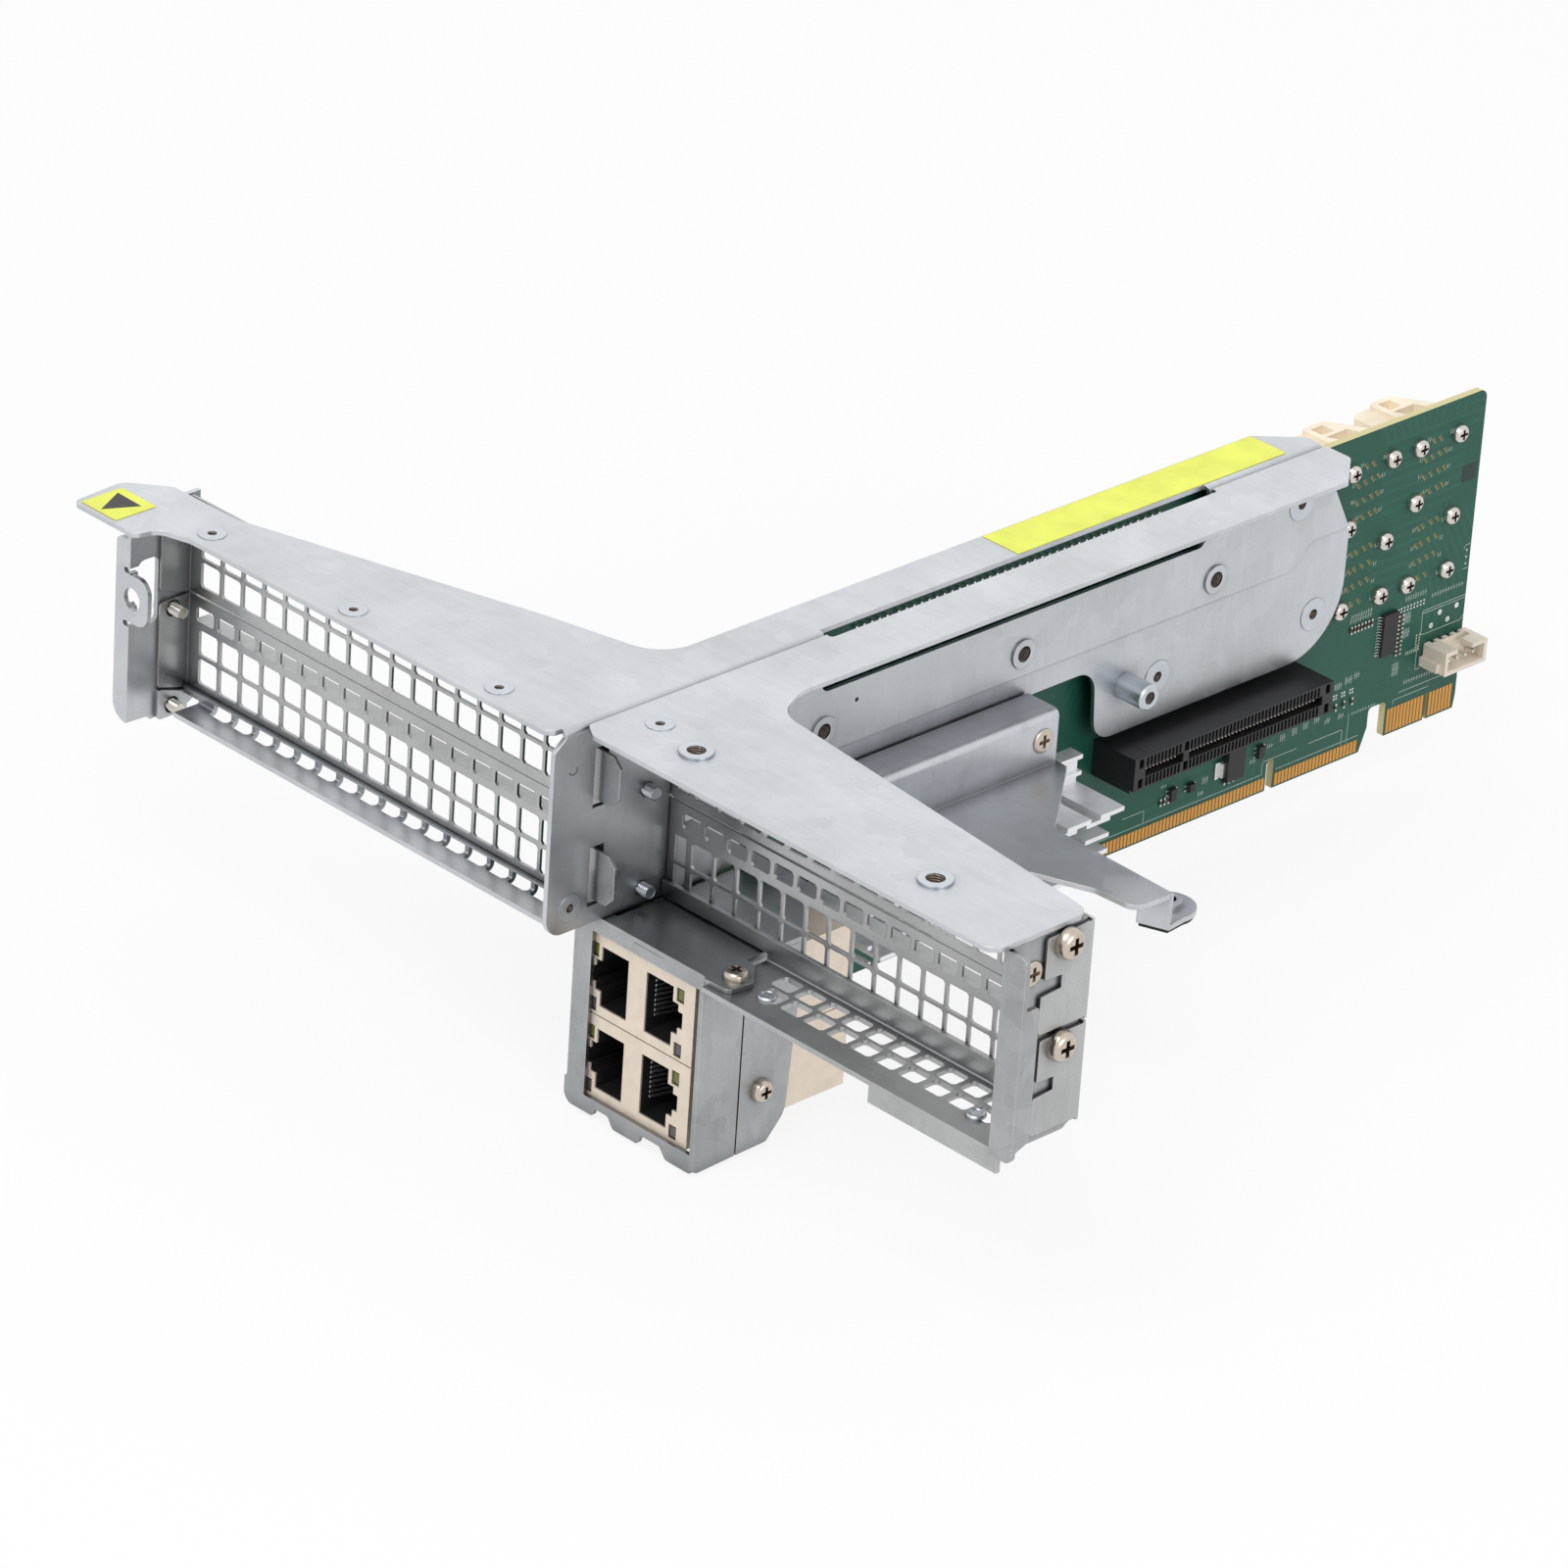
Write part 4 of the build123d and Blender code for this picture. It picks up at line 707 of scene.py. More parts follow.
@dataclass
class Board(Part):
    """The circuit board with its edge fingers, chips and small parts, in millimetres.

    Attributes:
        finger_runs: start, end, foot and top of each run of edge fingers, which are 1 mm apart.
        chip: start, end, foot and top of the chip with the bent leads.
        lead: half width of a lead, then the depths and the distances between which each bend lies.
        package: width, height and taper of a package.
        part_rows: first middle, step and number of each row of parts, along and up the board.
        pad_rows: first middle, step and number of each row of bare pads.
        clusters: height, drop from column to column and columns of each row of slanting pads.
    """

    coats: Coats = (
        (Finish.BOARD, ("circuit_board",)), (Finish.BLACK, ("upper_x16_slot", "lower_x16_slot")),
        (Finish.SOLDER, ("slot_pins", "header_pins")), (Finish.WHITE, ("power_header",)),
        (Finish.CHIP, ("network_chip", "switch_chip", "regulator_chip")), (Finish.SINK, ("heat_sink",)),
        (Finish.CREAM, tuple(f"storage_connector_{number}" for number in (1, 2, 3, 4))),
    )
    finger_runs: tuple[Span, ...] = (
        (111.2, 195.3, -76.1, -73.4), (197.9, 222.5, -76.1, -73.4),
        (230.5, 241.65, -74.7, -69.3), (242.95, 250.2, -74.7, -69.3),
    )
    finger_width: float = 0.68
    ground_film: float = 0.03
    finger_film: float = 0.06
    chip: Span = (226.0, 230.2, -56.0, -46.8)
    lead_pitch: float = 0.65
    lead_inset: float = 0.4
    lead: Lead = (
        0.13, ((-4.1, -3.95, 0.0, 0.4), (-4.5, -3.95, 0.3, 0.45), (-4.5, -4.38, 0.4, 1.1)),
    )
    tab: tuple[tuple[Point, Point], ...] = (
        ((-4.5, 180.0, -69.0), (-4.1, 182.2, -65.4)), ((-4.1, 181.2, -68.8), (-3.4, 182.2, -65.6)),
    )
    tab_legs: tuple[Spot, ...] = ((187.0, -68.6), (187.0, -65.9), (187.0, -63.2))
    tab_leg: Lead = (0.35, ((-4.5, -4.2, 0.0, 1.4), (-4.2, -3.6, 0.0, 0.4)))
    packages: tuple[tuple[float, float, int], ...] = (
        (167.9, -68.3, 3), (173.2, -68.4, 2), (192.8, -66.7, 3),
    )
    package_pitch: float = 0.95
    package_leg: Lead = (0.18, ((-4.5, -4.3, 0.7, 1.5),))
    package: Point = (1.7, 1.0, 0.9)
    part_rows: tuple[tuple[float, float, float, float, int], ...] = (
        (216.9, -47.4, 1.0, 0.0, 7), (231.7, -48.6, 0.0, -0.95, 10), (214.4, -63.7, 2.4, 0.0, 3),
        (164.8, -69.2, 1.1, 0.0, 3), (183.0, -70.2, 1.3, 0.0, 3),
    )
    part_half: Spot = (0.527, 0.1612)
    part_height: float = 0.42
    end_shift: float = 0.62
    end_half: Spot = (0.2, 0.2)
    end_height: float = 0.46
    pad_rows: tuple[tuple[float, float, float, float, int], ...] = (
        (231.9, -47.2, 0.95, 0.0, 8), (231.9, -47.95, 0.95, 0.0, 8), (237.4, -54.8, 0.0, -0.65, 6),
        (238.3, -54.8, 0.0, -0.65, 6), (213.9, -61.2, 2.4, 0.0, 3), (214.6, -61.2, 2.4, 0.0, 3),
        (213.9, -61.9, 2.4, 0.0, 3), (214.6, -61.9, 2.4, 0.0, 3), (250.15, -39.5, 0.0, -1.5, 3),
    )
    pad: Disc = (0.24, 0.03, 8)
    test_spots: tuple[Spot, ...] = ((243.8, -51.5), (248.8, -51.4), (246.4, -53.8), (241.5, -53.8))
    test_pad: Disc = (0.62, 0.04, 20)
    shifts: Spot = (0.0, -19.6)
    clusters: tuple[tuple[float, float, tuple[float, ...]], ...] = (
        (-11.6, 0.0, (236.4, 238.4)), (-15.3, 0.2, (234.4, 236.4, 238.5, 240.3)),
        (-19.1, 0.2, (234.4, 236.4, 238.6, 240.3)), (-22.9, 0.2, (234.4, 236.5, 238.7, 240.3)),
        (-30.3, 0.2, (234.3, 235.6, 238.0, 239.9)), (-34.1, 0.2, (234.2, 235.6, 237.8, 239.9)),
        (-37.9, 0.2, (234.0, 235.7, 237.8, 239.8)), (-41.6, 0.2, (235.7, 237.8)),
    )
    slant: tuple[Spot, ...] = ((-0.38, 0.46), (0.0, 0.0), (0.38, -0.46))

    def fingers(self) -> None:
        """Lay the edge fingers, one by one, on both faces of the board."""
        ground = Piece("finger_gaps", Finish.BRONZE, "gold_contact")
        gold = Piece("edge_fingers", Finish.GOLD, "gold_contact")
        for first, last, low, high in self.finger_runs:
            count = int(last - first)
            start = first + (last - first - count + 1 - self.finger_width) / 2
            strips = [(ground, first, last, self.ground_film)]
            strips += [(gold, y, y + self.finger_width, self.finger_film)
                       for y in (start + i for i in range(count))]
            for piece, near, far, film in strips:
                piece.block((BOARD_FACE, near, low), (BOARD_FACE + film, far, high))
                piece.block((BOARD_REAR - film, near, low), (BOARD_REAR, far, high))
        ground.finish_up(("edge_contacts",))
        gold.finish_up(("edge_contacts",))

    def bend(self, piece: Piece, foot: Spot, out: int, form: Lead) -> None:
        """Bend one lead.

        Args:
            piece: piece that takes the lead.
            foot: where the lead leaves its chip.
            out: 1 or -1, its direction along the board.
            form: half its width, then the depths and the distances between which each bend lies.
        """
        (y, z), (half, bends) = foot, form
        for x0, x1, near, far in bends:
            ends = sorted((y + out * near, y + out * far))
            piece.block((x0, ends[0], z - half), (x1, ends[1], z + half))

    def leads(self) -> None:
        """Bend the leads of the chips down to the board."""
        metal = Piece("chip_leads", Finish.SOLDER, "solder")
        first, last, low, high = self.chip
        count = int((high - low) / self.lead_pitch)
        for i in range(count):
            z = low + self.lead_inset + i * (high - low - 2 * self.lead_inset) / (count - 1)
            for edge, out in ((first, -1), (last, 1)):
                self.bend(metal, (edge, z), out, self.lead)
        for near, far in self.tab:
            metal.block(near, far)
        for foot in self.tab_legs:
            self.bend(metal, foot, 1, self.tab_leg)
        bodies = Piece("small_packages", Finish.CHIP, "chip_black")
        width, height, taper = self.package
        for y, z, legs in self.packages:
            for i in range(legs):
                for side in (-1, 1):
                    leg = z + (i - (legs - 1) / 2) * self.package_pitch
                    self.bend(metal, (y, leg), side, self.package_leg)
            middle = Facing.PLUS_X.matrix(place(BOARD_FACE, y, z))
            bodies.box(middle, width, self.package_pitch * legs, height, taper)
        metal.finish_up()
        bodies.finish_up()

    def chips(self) -> None:
        """Solder rows of small two-ended parts and lay the bare pads."""
        ends = Piece("part_ends", Finish.SOLDER, "solder")
        bodies = Piece("part_bodies", Finish.RESIN, "chip_black")
        for y, z, step_y, step_z, count in self.part_rows:
            lies = step_y == 0.0
            half = self.part_half if lies else self.part_half[::-1]
            for cy, cz in ((y + i * step_y, z + i * step_z) for i in range(count)):
                bodies.mount((cy, cz), half, self.part_height)
                for shift in (-self.end_shift, self.end_shift):
                    middle = (cy + shift, cz) if lies else (cy, cz + shift)
                    ends.mount(middle, self.end_half, self.end_height)
        ends.finish_up()
        bodies.finish_up()
        pads = Piece("bare_pads", Finish.SOLDER, "solder")
        for y, z, step_y, step_z, count in self.pad_rows:
            for i in range(count):
                pads.disc(NEAR_FACE, (y + i * step_y, z + i * step_z), *self.pad)
        for spot in self.test_spots:
            pads.disc(NEAR_FACE, spot, *self.test_pad)
        pads.finish_up()

    def slants(self) -> None:
        """Lay the slanting pairs of gold pads between the connector screws."""
        gold = Piece("connector_pads", Finish.PAD, "gold_contact")
        for shift in self.shifts:
            for top, drop, columns in self.clusters:
                for i, column in enumerate(columns):
                    for dy, dz in self.slant:
                        y, z = column + shift + dy, top + drop * i + dz
                        gold.disc(NEAR_FACE, (y, z), 0.17, 0.03, 8)
                        gold.disc(NEAR_FACE, (y + 0.42, z + 0.16), 0.11, 0.03, 6)
        gold.finish_up()

    def build(self) -> None:
        """Add fingers, leads, small parts and pads."""
        for step in (self.fingers, self.leads, self.chips, self.slants):
            step()


@dataclass
class CardSlot(Part):
    """The short card slot on the near face, with its contact wells.

    Attributes:
        wells: lower and upper edge of both rows of wells.
        well: start and end of every other well, from its contact's start.
        catch: depth, length and lower edge of the catch at the slot's end.
        pin: middle of a contact from its start, half its width and its depth.
    """

    coats: Coats = ((Finish.BLACK, ("x8_slot",)),)
    span: Spot = (144.2, 200.2)
    top: float = -48.9
    foot: float = -55.7
    reach: float = 6.8
    back: float = -1.5
    mouth: tuple[Spot, ...] = ((147.2, 157.8), (159.4, 197.2))
    gap: Spot = (-53.3, -51.3)
    wells: tuple[Spot, ...] = ((-51.15, -49.2), (-55.4, -53.45))
    lone_wells: tuple[Spot, ...] = ((145.4, 146.6), (158.0, 159.2), (198.0, 199.2))
    well: Spot = (0.22, 0.82)
    catch: Point = (5.8, 3.2, -56.5)
    pin: Point = (0.52, 0.12, 5.7)
    pin_rise: Spot = (0.75, 1.05)
    slit: Span = (1.6, 5.4, 148.3, 148.55)

    def contacts(self) -> list[float]:
        """Start of every contact along the slot."""
        return [first + i for first, last in self.mouth for i in range(int(last - first))]

    def walls(self) -> list[Span]:
        """List the walls that stand round the mouth and the wells.

        Returns:
            Start, end, foot and top of each wall.
        """
        first, last = self.span
        (low, high), (upper, lower) = self.gap, self.wells
        bars = ((upper[1], self.top), (high, upper[0]), (lower[1], low), (self.foot, lower[0]))
        found = [(first, last, *bar) for bar in bars]
        (start, key), (after, end) = self.mouth
        found += [(*post, low, high) for post in ((first, start), (key, after), (end, last))]
        open_wells = [(y + self.well[0], y + self.well[1]) for y in self.contacts()]
        open_wells = sorted([*self.lone_wells, *open_wells])
        edges = [first, *(edge for well in open_wells for edge in well), last]
        found += [(*rib, *row) for rib in zip(edges[0::2], edges[1::2]) for row in self.wells]
        return found

    def build(self) -> None:
        """Mould the housing round its mouth and wells, and set the contacts."""
        body = Piece("slot_housing", Finish.BLACK, "black_plastic")
        first, last = self.span
        body.block((BOARD_FACE, first, self.foot), (self.back, last, self.top))
        for start, end, under, over in self.walls():
            body.block((self.back, start, under), (self.reach, end, over))
        depth, length, foot = self.catch
        body.block((BOARD_FACE, first, foot), (depth, first + length, self.foot))
        body.finish_up(("x8_slot",))
        # The contacts wear the pale contact finish, lightened as a painted highlight.
        pins = Piece("slot_contacts", Finish.TIP, "gold_contact")
        (middle, half, depth), (under, over) = self.pin, self.pin_rise
        for y in (start + middle for start in self.contacts()):
            pins.block((self.back, y - half, self.gap[0] + under), (depth, y + half, self.gap[0] + over))
        pins.finish_up()
        # The slit along the slot's top is a thin near-black film: painted shade.
        slit = Piece("slot_slit", Finish.HOLE, "black_plastic")
        slit.plate(Facing.UP.matrix(place(0, 0, self.top)), self.slit, FILM)
        slit.finish_up()


@dataclass
class BoardPrint(Part):
    """Plain printed lines, tick marks and blocks on the board.

    Attributes:
        ticks: place along and up the board, number, step and height of each row of ticks.
        marks: height and left place of each pair of marks beside the slanting pads.
    """

    lines: tuple[Span, ...] = (
        (112.5, -72.5, 194.3, -72.5), (194.3, -72.5, 194.3, -69.7), (194.3, -69.7, 204.0, -69.7),
        (207.7, -69.7, 217.4, -69.7), (217.4, -69.7, 217.4, -73.2), (198.5, -72.5, 222.4, -72.5),
        (160.5, -69.7, 154.5, -69.7), (160.5, -69.7, 160.5, -72.5), (219.0, -66.6, 219.0, -73.2),
        (233.7, -66.4, 251.2, -66.4), (232.2, -67.7, 242.6, -67.7), (232.2, -67.7, 232.2, -68.6),
        (238.5, -49.7, 251.1, -49.7), (238.5, -49.7, 238.6, -55.1), (238.6, -55.1, 250.2, -55.1),
        (250.2, -55.1, 251.1, -54.3), (238.6, -50.3, 251.1, -50.3), (249.4, -38.3, 250.9, -38.3),
        (249.4, -38.3, 249.4, -39.0), (249.5, -43.6, 250.9, -43.6), (237.9, -57.0, 237.9, -62.6),
        (237.9, -62.6, 239.2, -62.6),
    )
    ticks: tuple[tuple[float, float, int, float, float], ...] = (
        (216.8, -45.6, 9, 0.72, 1.1), (217.0, -44.6, 9, 0.7, 0.8), (233.0, -45.4, 9, 0.72, 1.2),
        (233.2, -49.8, 4, 0.5, 2.6), (233.2, -53.2, 4, 0.5, 2.4), (231.0, -60.6, 4, 0.5, 3.2),
        (234.6, -58.0, 7, 0.6, 0.9), (214.0, -59.3, 4, 0.55, 1.4), (217.0, -58.8, 4, 0.55, 1.6),
        (219.6, -58.4, 3, 0.55, 1.4), (235.0, -64.6, 14, 0.75, 0.8), (241.0, -46.9, 12, 0.8, 0.9),
        (176.0, -71.0, 3, 0.6, 0.9), (195.3, -66.6, 3, 0.6, 0.8), (199.0, -65.9, 3, 0.55, 1.6),
        (202.4, -65.6, 3, 0.55, 1.6), (205.6, -65.3, 3, 0.55, 1.6), (208.8, -65.0, 3, 0.55, 1.6),
        (212.0, -66.2, 3, 0.55, 1.4), (216.0, -66.4, 3, 0.55, 1.2), (220.0, -66.9, 9, 0.8, 0.6),
        (177.0, -68.4, 3, 0.6, 1.4), (190.6, -68.6, 3, 0.6, 0.9), (165.0, -66.0, 3, 0.6, 0.6),
    )
    patch: Span = (246.2, 250.4, -23.6, -19.9)
    tick_width: float = 0.16
    tick_range: Spot = (0.75, 1.0)
    shifts: Spot = (0.0, -19.6)
    marks: tuple[Spot, ...] = (
        (-10.9, 234.8), (-14.8, 232.9), (-18.4, 232.9), (-22.3, 234.8), (-30.2, 232.9),
        (-34.2, 232.9), (-38.0, 232.9), (-41.9, 234.8),
    )
    right: float = 241.4
    half_mark: float = 0.4
    via_count: int = 110
    via_field: Span = (203.0, 237.0, -68.0, -9.0)
    via: Disc = (0.2, FILM, 8)

    def build(self) -> None:
        """Print the lines, the ticks beside each pad row, the dark square and the vias."""
        silk = Piece("board_print", Finish.SILK)
        for a, b, c, d in self.lines:
            silk.stroke(NEAR_FACE, (a, b), (c, d))
        for first, z, count, step, height in self.ticks:
            for y in (first + i * step for i in range(count)):
                tall = height * random.uniform(*self.tick_range)
                silk.stroke(NEAR_FACE, (y, z - tall / 2), (y, z + tall / 2), self.tick_width)
                silk.stroke(NEAR_FACE, (y + 0.1, z), (y + 0.26, z + 0.05))
        for shift in self.shifts:
            for z, left in self.marks:
                for y in (left + shift, self.right + shift):
                    foot = z - self.half_mark
                    silk.stroke(NEAR_FACE, (y, foot), (y, z + self.half_mark))
                    silk.stroke(NEAR_FACE, (y + 0.45, foot), (y + 0.75, z + 0.3))
        silk.finish_up()
        dark = Piece("dark_square", Finish.DARK_MASK)
        dark.plate(NEAR_FACE, self.patch, FILM)
        dark.finish_up()
        vias = Piece("vias", Finish.VIA)
        y0, y1, z0, z1 = self.via_field
        for _ in range(self.via_count):
            vias.disc(NEAR_FACE, (random.uniform(y0, y1), random.uniform(z0, z1)), *self.via)
        vias.finish_up()


@dataclass(frozen=True)
class Screw:
    """A screw with a cross recess.

    Attributes:
        shoulder: the head's outline, as shares of its radius and height.
        cross: half length and half width of the recess's arms, as shares of the head's radius.
        depth: largest depth of the recess, as shares of the head's radius and of its height.
    """

    radius: float
    height: float
    length: float = 0.0
    shank: float = 1.35
    shoulder: tuple[Spot, ...] = (
        (0.0, 0.0), (1.0, 0.0), (1.0, 0.35), (0.96, 0.58), (0.88, 0.76), (0.76, 0.9), (0.66, 0.95),
    )
    cross: Spot = (0.56, 0.15)
    depth: Spot = (0.55, 0.7)
    facets: int = 28

    def recess(self, scale: float) -> list[Spot]:
        """Outline of the recess at a scale."""
        a, b = (share * self.radius * scale for share in self.cross)
        return [(a, -b), (a, b), (b, b), (b, a), (-b, a), (-b, b),
                (-a, b), (-a, -b), (-b, -b), (-b, -a), (b, -a), (b, -b)]

    def build(self, head: Piece, pit: Piece, at: Matrix) -> None:
        """Add the screw.

        Args:
            head: piece that takes the head and the thread.
            pit: piece that takes the walls and the floor of the recess.
            at: placement of the head's seat, its normal pointing out of the head.
        """
        r, h = self.radius, self.height
        profile = [(r * across, h * up) for across, up in self.shoulder]
        head.lathe(profile, at, self.facets)
        inner, edge = profile[-1]
        head.sheet_with_hole(at, circle(inner, self.facets), edge, self.recess(1.0), h)
        floor = h - min(self.depth[0] * r, self.depth[1] * h)
        upper, lower = pit.ring(at, self.recess(1.0), h), pit.ring(at, self.recess(0.6), floor)
        pit.bridge(upper, lower)
        pit.mesh.faces.new(lower)
        if self.length:
            head.thread(at, self.shank, THREAD_GROOVE, self.length)
            tip = at @ Matrix.Translation((0, 0, -self.length * MM))
            head.disc(tip, (0, 0), self.shank - 0.2, 0.05, 18)


def alike(screw: Screw, facing: Facing, *seats: Point) -> list[Seat]:
    """Screws of one form that look the same way, one for each seat."""
    return [(screw, facing, seat) for seat in seats]


@dataclass
class Hardware(Part):
    """Screws, nuts, bushes and rivets.

    Attributes:
        bores: direction, middle, radius and depth of each threaded bore.
    """

    coats: Coats = (
        (Finish.NICKEL, ("connector_screws", "cover_screws", "wall_screws", "flat_screws", "board_screws")),
        (Finish.ZINC, ("board_spacers", "flush_nuts", "threaded_bushes", "standoff", "cage_screws",
                       "tray_rivets")),
    )
    rivets: tuple[Spot, ...] = ((38.6, 15.2), (92.0, 14.8))
    tray: float = -42.9
    rivet: tuple[Spot, ...] = (
        (0, 0), (1.9, 0), (1.9, 0.4), (1.65, 0.72), (1.15, 0.8), (0.95, 0.62), (0, 0.56),
    )
    bores: tuple[tuple[Facing, Point, float, float], ...] = (
        (Facing.PLUS_X, (0.1, 193.4, -11.2), 1.1, 2.8), (Facing.PLUS_X, (-0.3, 200.2, -37.2), 1.1, 2.6),
        (Facing.PLUS_X, (-0.3, 156.2, -37.4), 1.1, 2.6), (Facing.PLUS_X, (0.1, 2.0, -36.9), 0.9, 2.2),
        (Facing.UP, (7.9, 14.4, 0.1), 0.9, 2.2), (Facing.UP, (-99.4, 0.7, 0.1), 0.9, 2.2),
        (Facing.UP, (-59.7, 0.7, 0.1), 0.9, 2.2), (Facing.UP, (-20.2, 0.9, 0.1), 0.9, 2.2),
        (Facing.UP, (19.9, 12.0, 0.4), 1.8, 3.8), (Facing.UP, (80.5, 12.0, 0.4), 1.8, 3.8),
        (Facing.PLUS_X, (0.3, 64.6, -20.4), 1.65, 3.0), (Facing.PLUS_X, (0.3, 117.3, -20.4), 1.65, 3.0),
        (Facing.PLUS_X, (0.3, 170.0, -20.4), 1.65, 3.0), (Facing.PLUS_X, (6.2, 147.0, -36.4), 1.3, 5.5),
    )
    bore_groove: float = 0.24

    def screws(self) -> list[tuple[str, str, Finish, list[Seat]]]:
        """List the screws.

        Returns:
            Stem of the piece's name and of its CAD node's, its finish and its screws.
        """
        out, back = Facing.PLUS_X, Facing.MINUS_X
        near = [(BOARD_FACE, y, z) for y in (212.6, 232.2) for z in (-11.8, -23.8, -41.8)]
        near += [(BOARD_FACE, y, z) for y in (224.2, 243.8) for z in (-11.8, -29.8, -41.8)]
        rear = [(BOARD_REAR, 176, -30), (BOARD_REAR, 188, -44), (BOARD_REAR, 40, -20)]
        wall, end = [(-1, 19.9, -38.52), (-1, 19.9, -18.2)], [(105.3, 20, -24.42), (105.3, 20, -4.1)]
        cover = [(-118, 6.5, z) for z in (-44.24, -23.92, -3.6)]
        flat = [(104.6, 12.5, -8.2), (8.5, 115.5, -34.9)]
        return [
            ("connector", "connector", Finish.NICKEL, alike(Screw(1.95, 1.5), out, *near)),
            ("board", "board", Finish.NICKEL, alike(Screw(2.8, 1.6), back, *rear)),
            ("wall", "wall", Finish.ZINC, alike(Screw(2.5, 2.3, 3.4), back, *wall)),
            ("cover", "cover", Finish.NICKEL, alike(Screw(2.5, 2.3, 4.4), back, *cover)),
            ("end", "cover", Finish.WARM, alike(Screw(3.0, 2.3, 4.0), out, *end)),
            ("flat", "flat", Finish.WARM, alike(Screw(2.5, 0.5, 3.0), out, *flat)),
            ("cage", "cage", Finish.WARM, alike(Screw(2.3, 1.8, 2.6), out, (27.1, 26.6, -71))
             + alike(Screw(2.4, 1.6), Facing.UP, (30.7, 14.8, -41.9))),
        ]

    def build(self) -> None:
        """Cut the cross recesses and the threads, and press the rivets."""
        # The walls and floors of the cross recesses wear a dark brown: painted shade.
        pit = Piece("drive_recesses", Finish.DRIVE, "nickel_screw")
        for stem, node, finish, screws in self.screws():
            heads = Piece(f"{stem}_screw_heads", finish, "zinc_nut" if stem == "cage" else "nickel_screw")
            for screw, facing, seat in screws:
                screw.build(heads, pit, facing.matrix(place(*seat)))
            heads.finish_up((f"{node}_screws",), smooth=True)
        pit.finish_up()
        rivets = Piece("rivet_heads", Finish.ZINC, "zinc_nut")
        for x, y in self.rivets:
            rivets.lathe(list(self.rivet), Facing.UP.matrix(place(x, y, self.tray)), 24)
        rivets.finish_up(("tray_rivets",), smooth=True)
        # The threads in the bores wear a dark brown: painted shade.
        threads = Piece("bore_threads", Finish.BORE, "zinc_nut")
        for facing, spot, radius, depth in self.bores:
            threads.thread(facing.matrix(place(*spot)), radius + 0.03, self.bore_groove, depth, 20)
        threads.finish_up()


@dataclass
class Labels(Part):
    """The two yellow labels on the top face."""

    coats: Coats = ((Finish.YELLOW, ("long_label", "arrow_label")),)
    arrow: tuple[Spot, ...] = ((-123.2, -2.2), (-119.6, -9.3), (-116.1, -2.4))
    height: float = 0.12

    def build(self) -> None:
        """Add the dark arrow on the square label."""
        arrow = Piece("arrow_print", Finish.INK)
        arrow.prism(list(self.arrow), Facing.UP.matrix(place(0, 0, self.height)), FILM)
        arrow.finish_up()


@dataclass(frozen=True)
class Camera:
    """The photograph's camera.

    Attributes:
        position: in millimetres from the datum corner.
        focal: focal length in pixels of the photograph.
    """

    position: Point = (983.4, -952.8, 702.8)
    yaw: float = 44.29
    pitch: float = 27.44
    roll: float = 3.89
    focal: float = 8781.0
    pixels: float = 1600.0
    sensor: float = 36.0

    def build(self) -> None:
        """Create the camera and make it the scene's."""
        yaw, pitch, roll = (math.radians(angle) for angle in (self.yaw, self.pitch, self.roll))
        data = bpy.data.cameras.new("photo_camera")
        data.sensor_width = self.sensor
        data.lens = self.sensor * self.focal / self.pixels
        data.clip_start = 0.05
        camera = bpy.data.objects.new("photo_camera", data)
        bpy.context.scene.collection.objects.link(camera)
        stand = Matrix.Translation(place(*self.position))
        for angle, axis in ((yaw, "Z"), (math.pi / 2 - pitch, "X"), (roll, "Z")):
            stand = stand @ Matrix.Rotation(angle, 4, axis)
        camera.matrix_world = stand
        bpy.context.scene.camera = camera


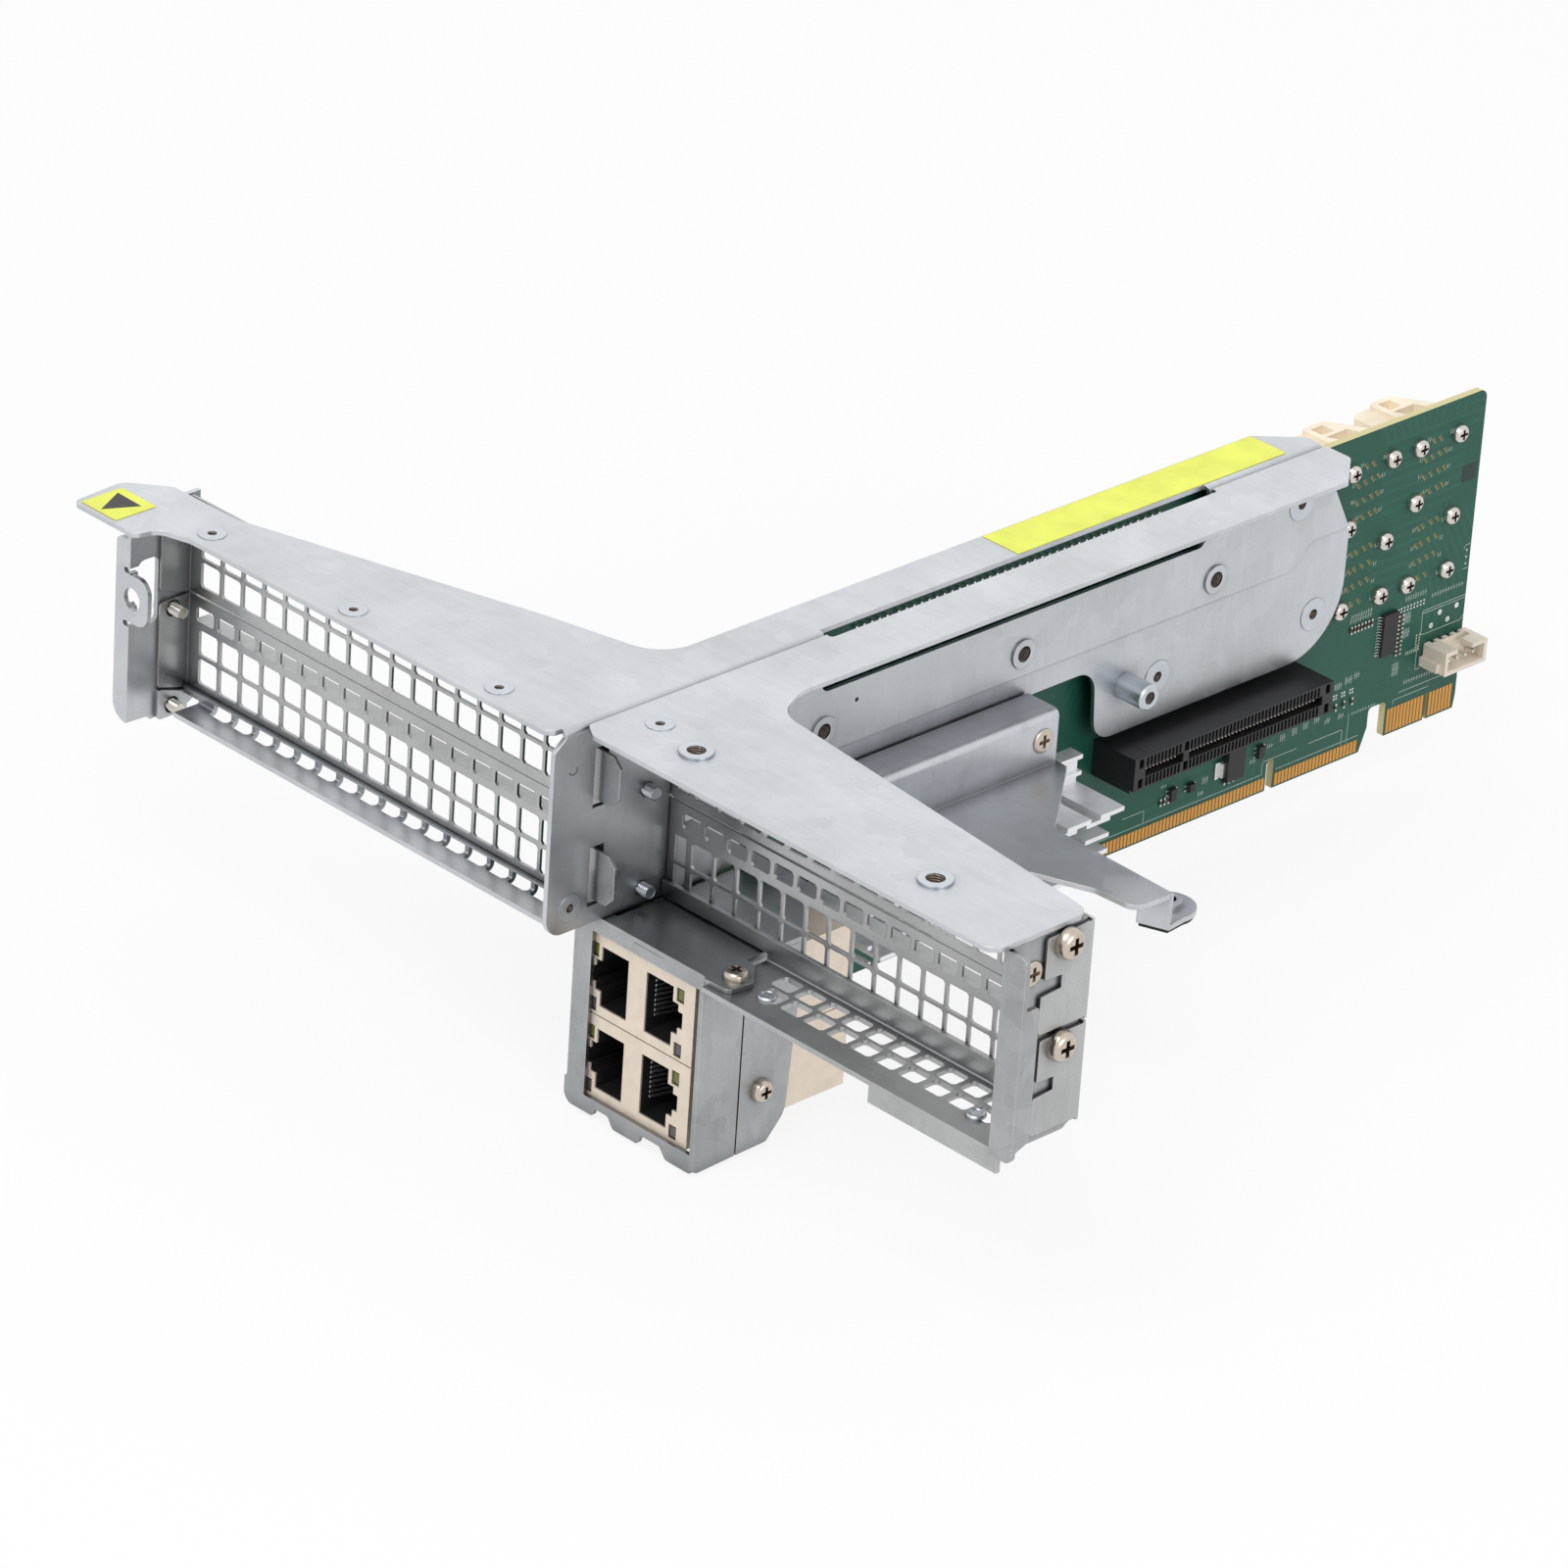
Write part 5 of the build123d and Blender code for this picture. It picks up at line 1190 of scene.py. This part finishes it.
@dataclass
class Studio:
    """White studio: pale floor, soft boxes and an even surround.

    Attributes:
        floor_glow: share of plain white in what the camera and metal see of the floor.
        lights: name, place, size and power in watts of each soft box, in metres in the row frame.
    """

    floor_z: float = -0.0075
    floor_size: float = 3.0
    floor_glow: float = 0.85
    world_strength: float = 0.85
    lights: tuple[tuple[str, Point, Spot, float], ...] = (
        ("key_light", (0.2, -0.9, 1.3), (0.9, 0.9), 7.5),
        ("back_light", (-1.0, 1.0, 0.75), (1.6, 1.2), 0.8),
        ("side_light", (1.3, -0.2, 0.5), (0.8, 0.6), 4.0),
    )
    target: Point = (0.0, 0.0, 0.03)

    def floor(self) -> None:
        """Lay the floor, which the camera sees as plain white."""
        shape = bmesh.new()
        bmesh.ops.create_grid(shape, x_segments=2, y_segments=2, size=self.floor_size)
        data = bpy.data.meshes.new("floor")
        shape.to_mesh(data)
        shape.free()
        item = bpy.data.objects.new("floor", data)
        bpy.context.scene.collection.objects.link(item)
        item.location = (0, 0, self.floor_z)
        s = Shader(bpy.data.materials.new(LOOK + "pale_floor"))
        s.surface(Base_Color=(0.8, 0.8, 0.8, 1), Roughness=0.9, Specular_IOR_Level=0.0)
        plain = s.tree.nodes["Principled BSDF"].outputs[0]
        glow = s.node("Emission", {"Color": (1, 1, 1, 1), "Strength": 1.0}).outputs[0]
        share = s.math("MULTIPLY", s.seen(), self.floor_glow)
        both = s.node("MixShader", {0: share, 1: plain, 2: glow}).outputs[0]
        s.put(s.tree.nodes["Material Output"].inputs["Surface"], both)
        data.materials.append(s.owner)

    def world(self) -> None:
        """Set an even white surround, plain white to the camera."""
        world = bpy.data.worlds.new("studio")
        bpy.context.scene.world = world
        s = Shader(world)
        background = s.tree.nodes["Background"].inputs
        s.put(background["Color"], (1, 1, 1, 1))
        s.put(background["Strength"], s.span(s.seen(), self.world_strength, 1.0))

    def soft_box(self, name: str, position: Point, size: Spot, power: float) -> None:
        """Hang a soft box that points at the card.

        Args:
            name: the light's name.
            position: in metres, in the row frame.
            size: width and height in metres.
            power: in watts.
        """
        data = bpy.data.lights.new(name, "AREA")
        data.shape = "RECTANGLE"
        data.size, data.size_y = size
        data.energy = power
        item = bpy.data.objects.new(name, data)
        bpy.context.scene.collection.objects.link(item)
        item.location = position
        aim = Vector(self.target) - Vector(position)
        item.rotation_euler = aim.to_track_quat("-Z", "Y").to_euler()

    def build(self) -> None:
        """Set up the floor, the surround, the lights and the view transform."""
        self.floor()
        self.world()
        for light in self.lights:
            self.soft_box(*light)
        bpy.context.scene.view_settings.view_transform = "Standard"


def main() -> None:
    """Dress the card, add its details and set up the studio."""
    logging.basicConfig(level=logging.INFO, format="%(name)s %(message)s")
    random.seed(7)
    for part in (SheetWork(), PortStack(), Board(), CardSlot(), BoardPrint(), Hardware(), Labels()):
        part.dress()
        part.build()
        LOG.info("%s built", type(part).__name__)
    Camera().build()
    Studio().build()


if __name__ == "__main__":
    main()
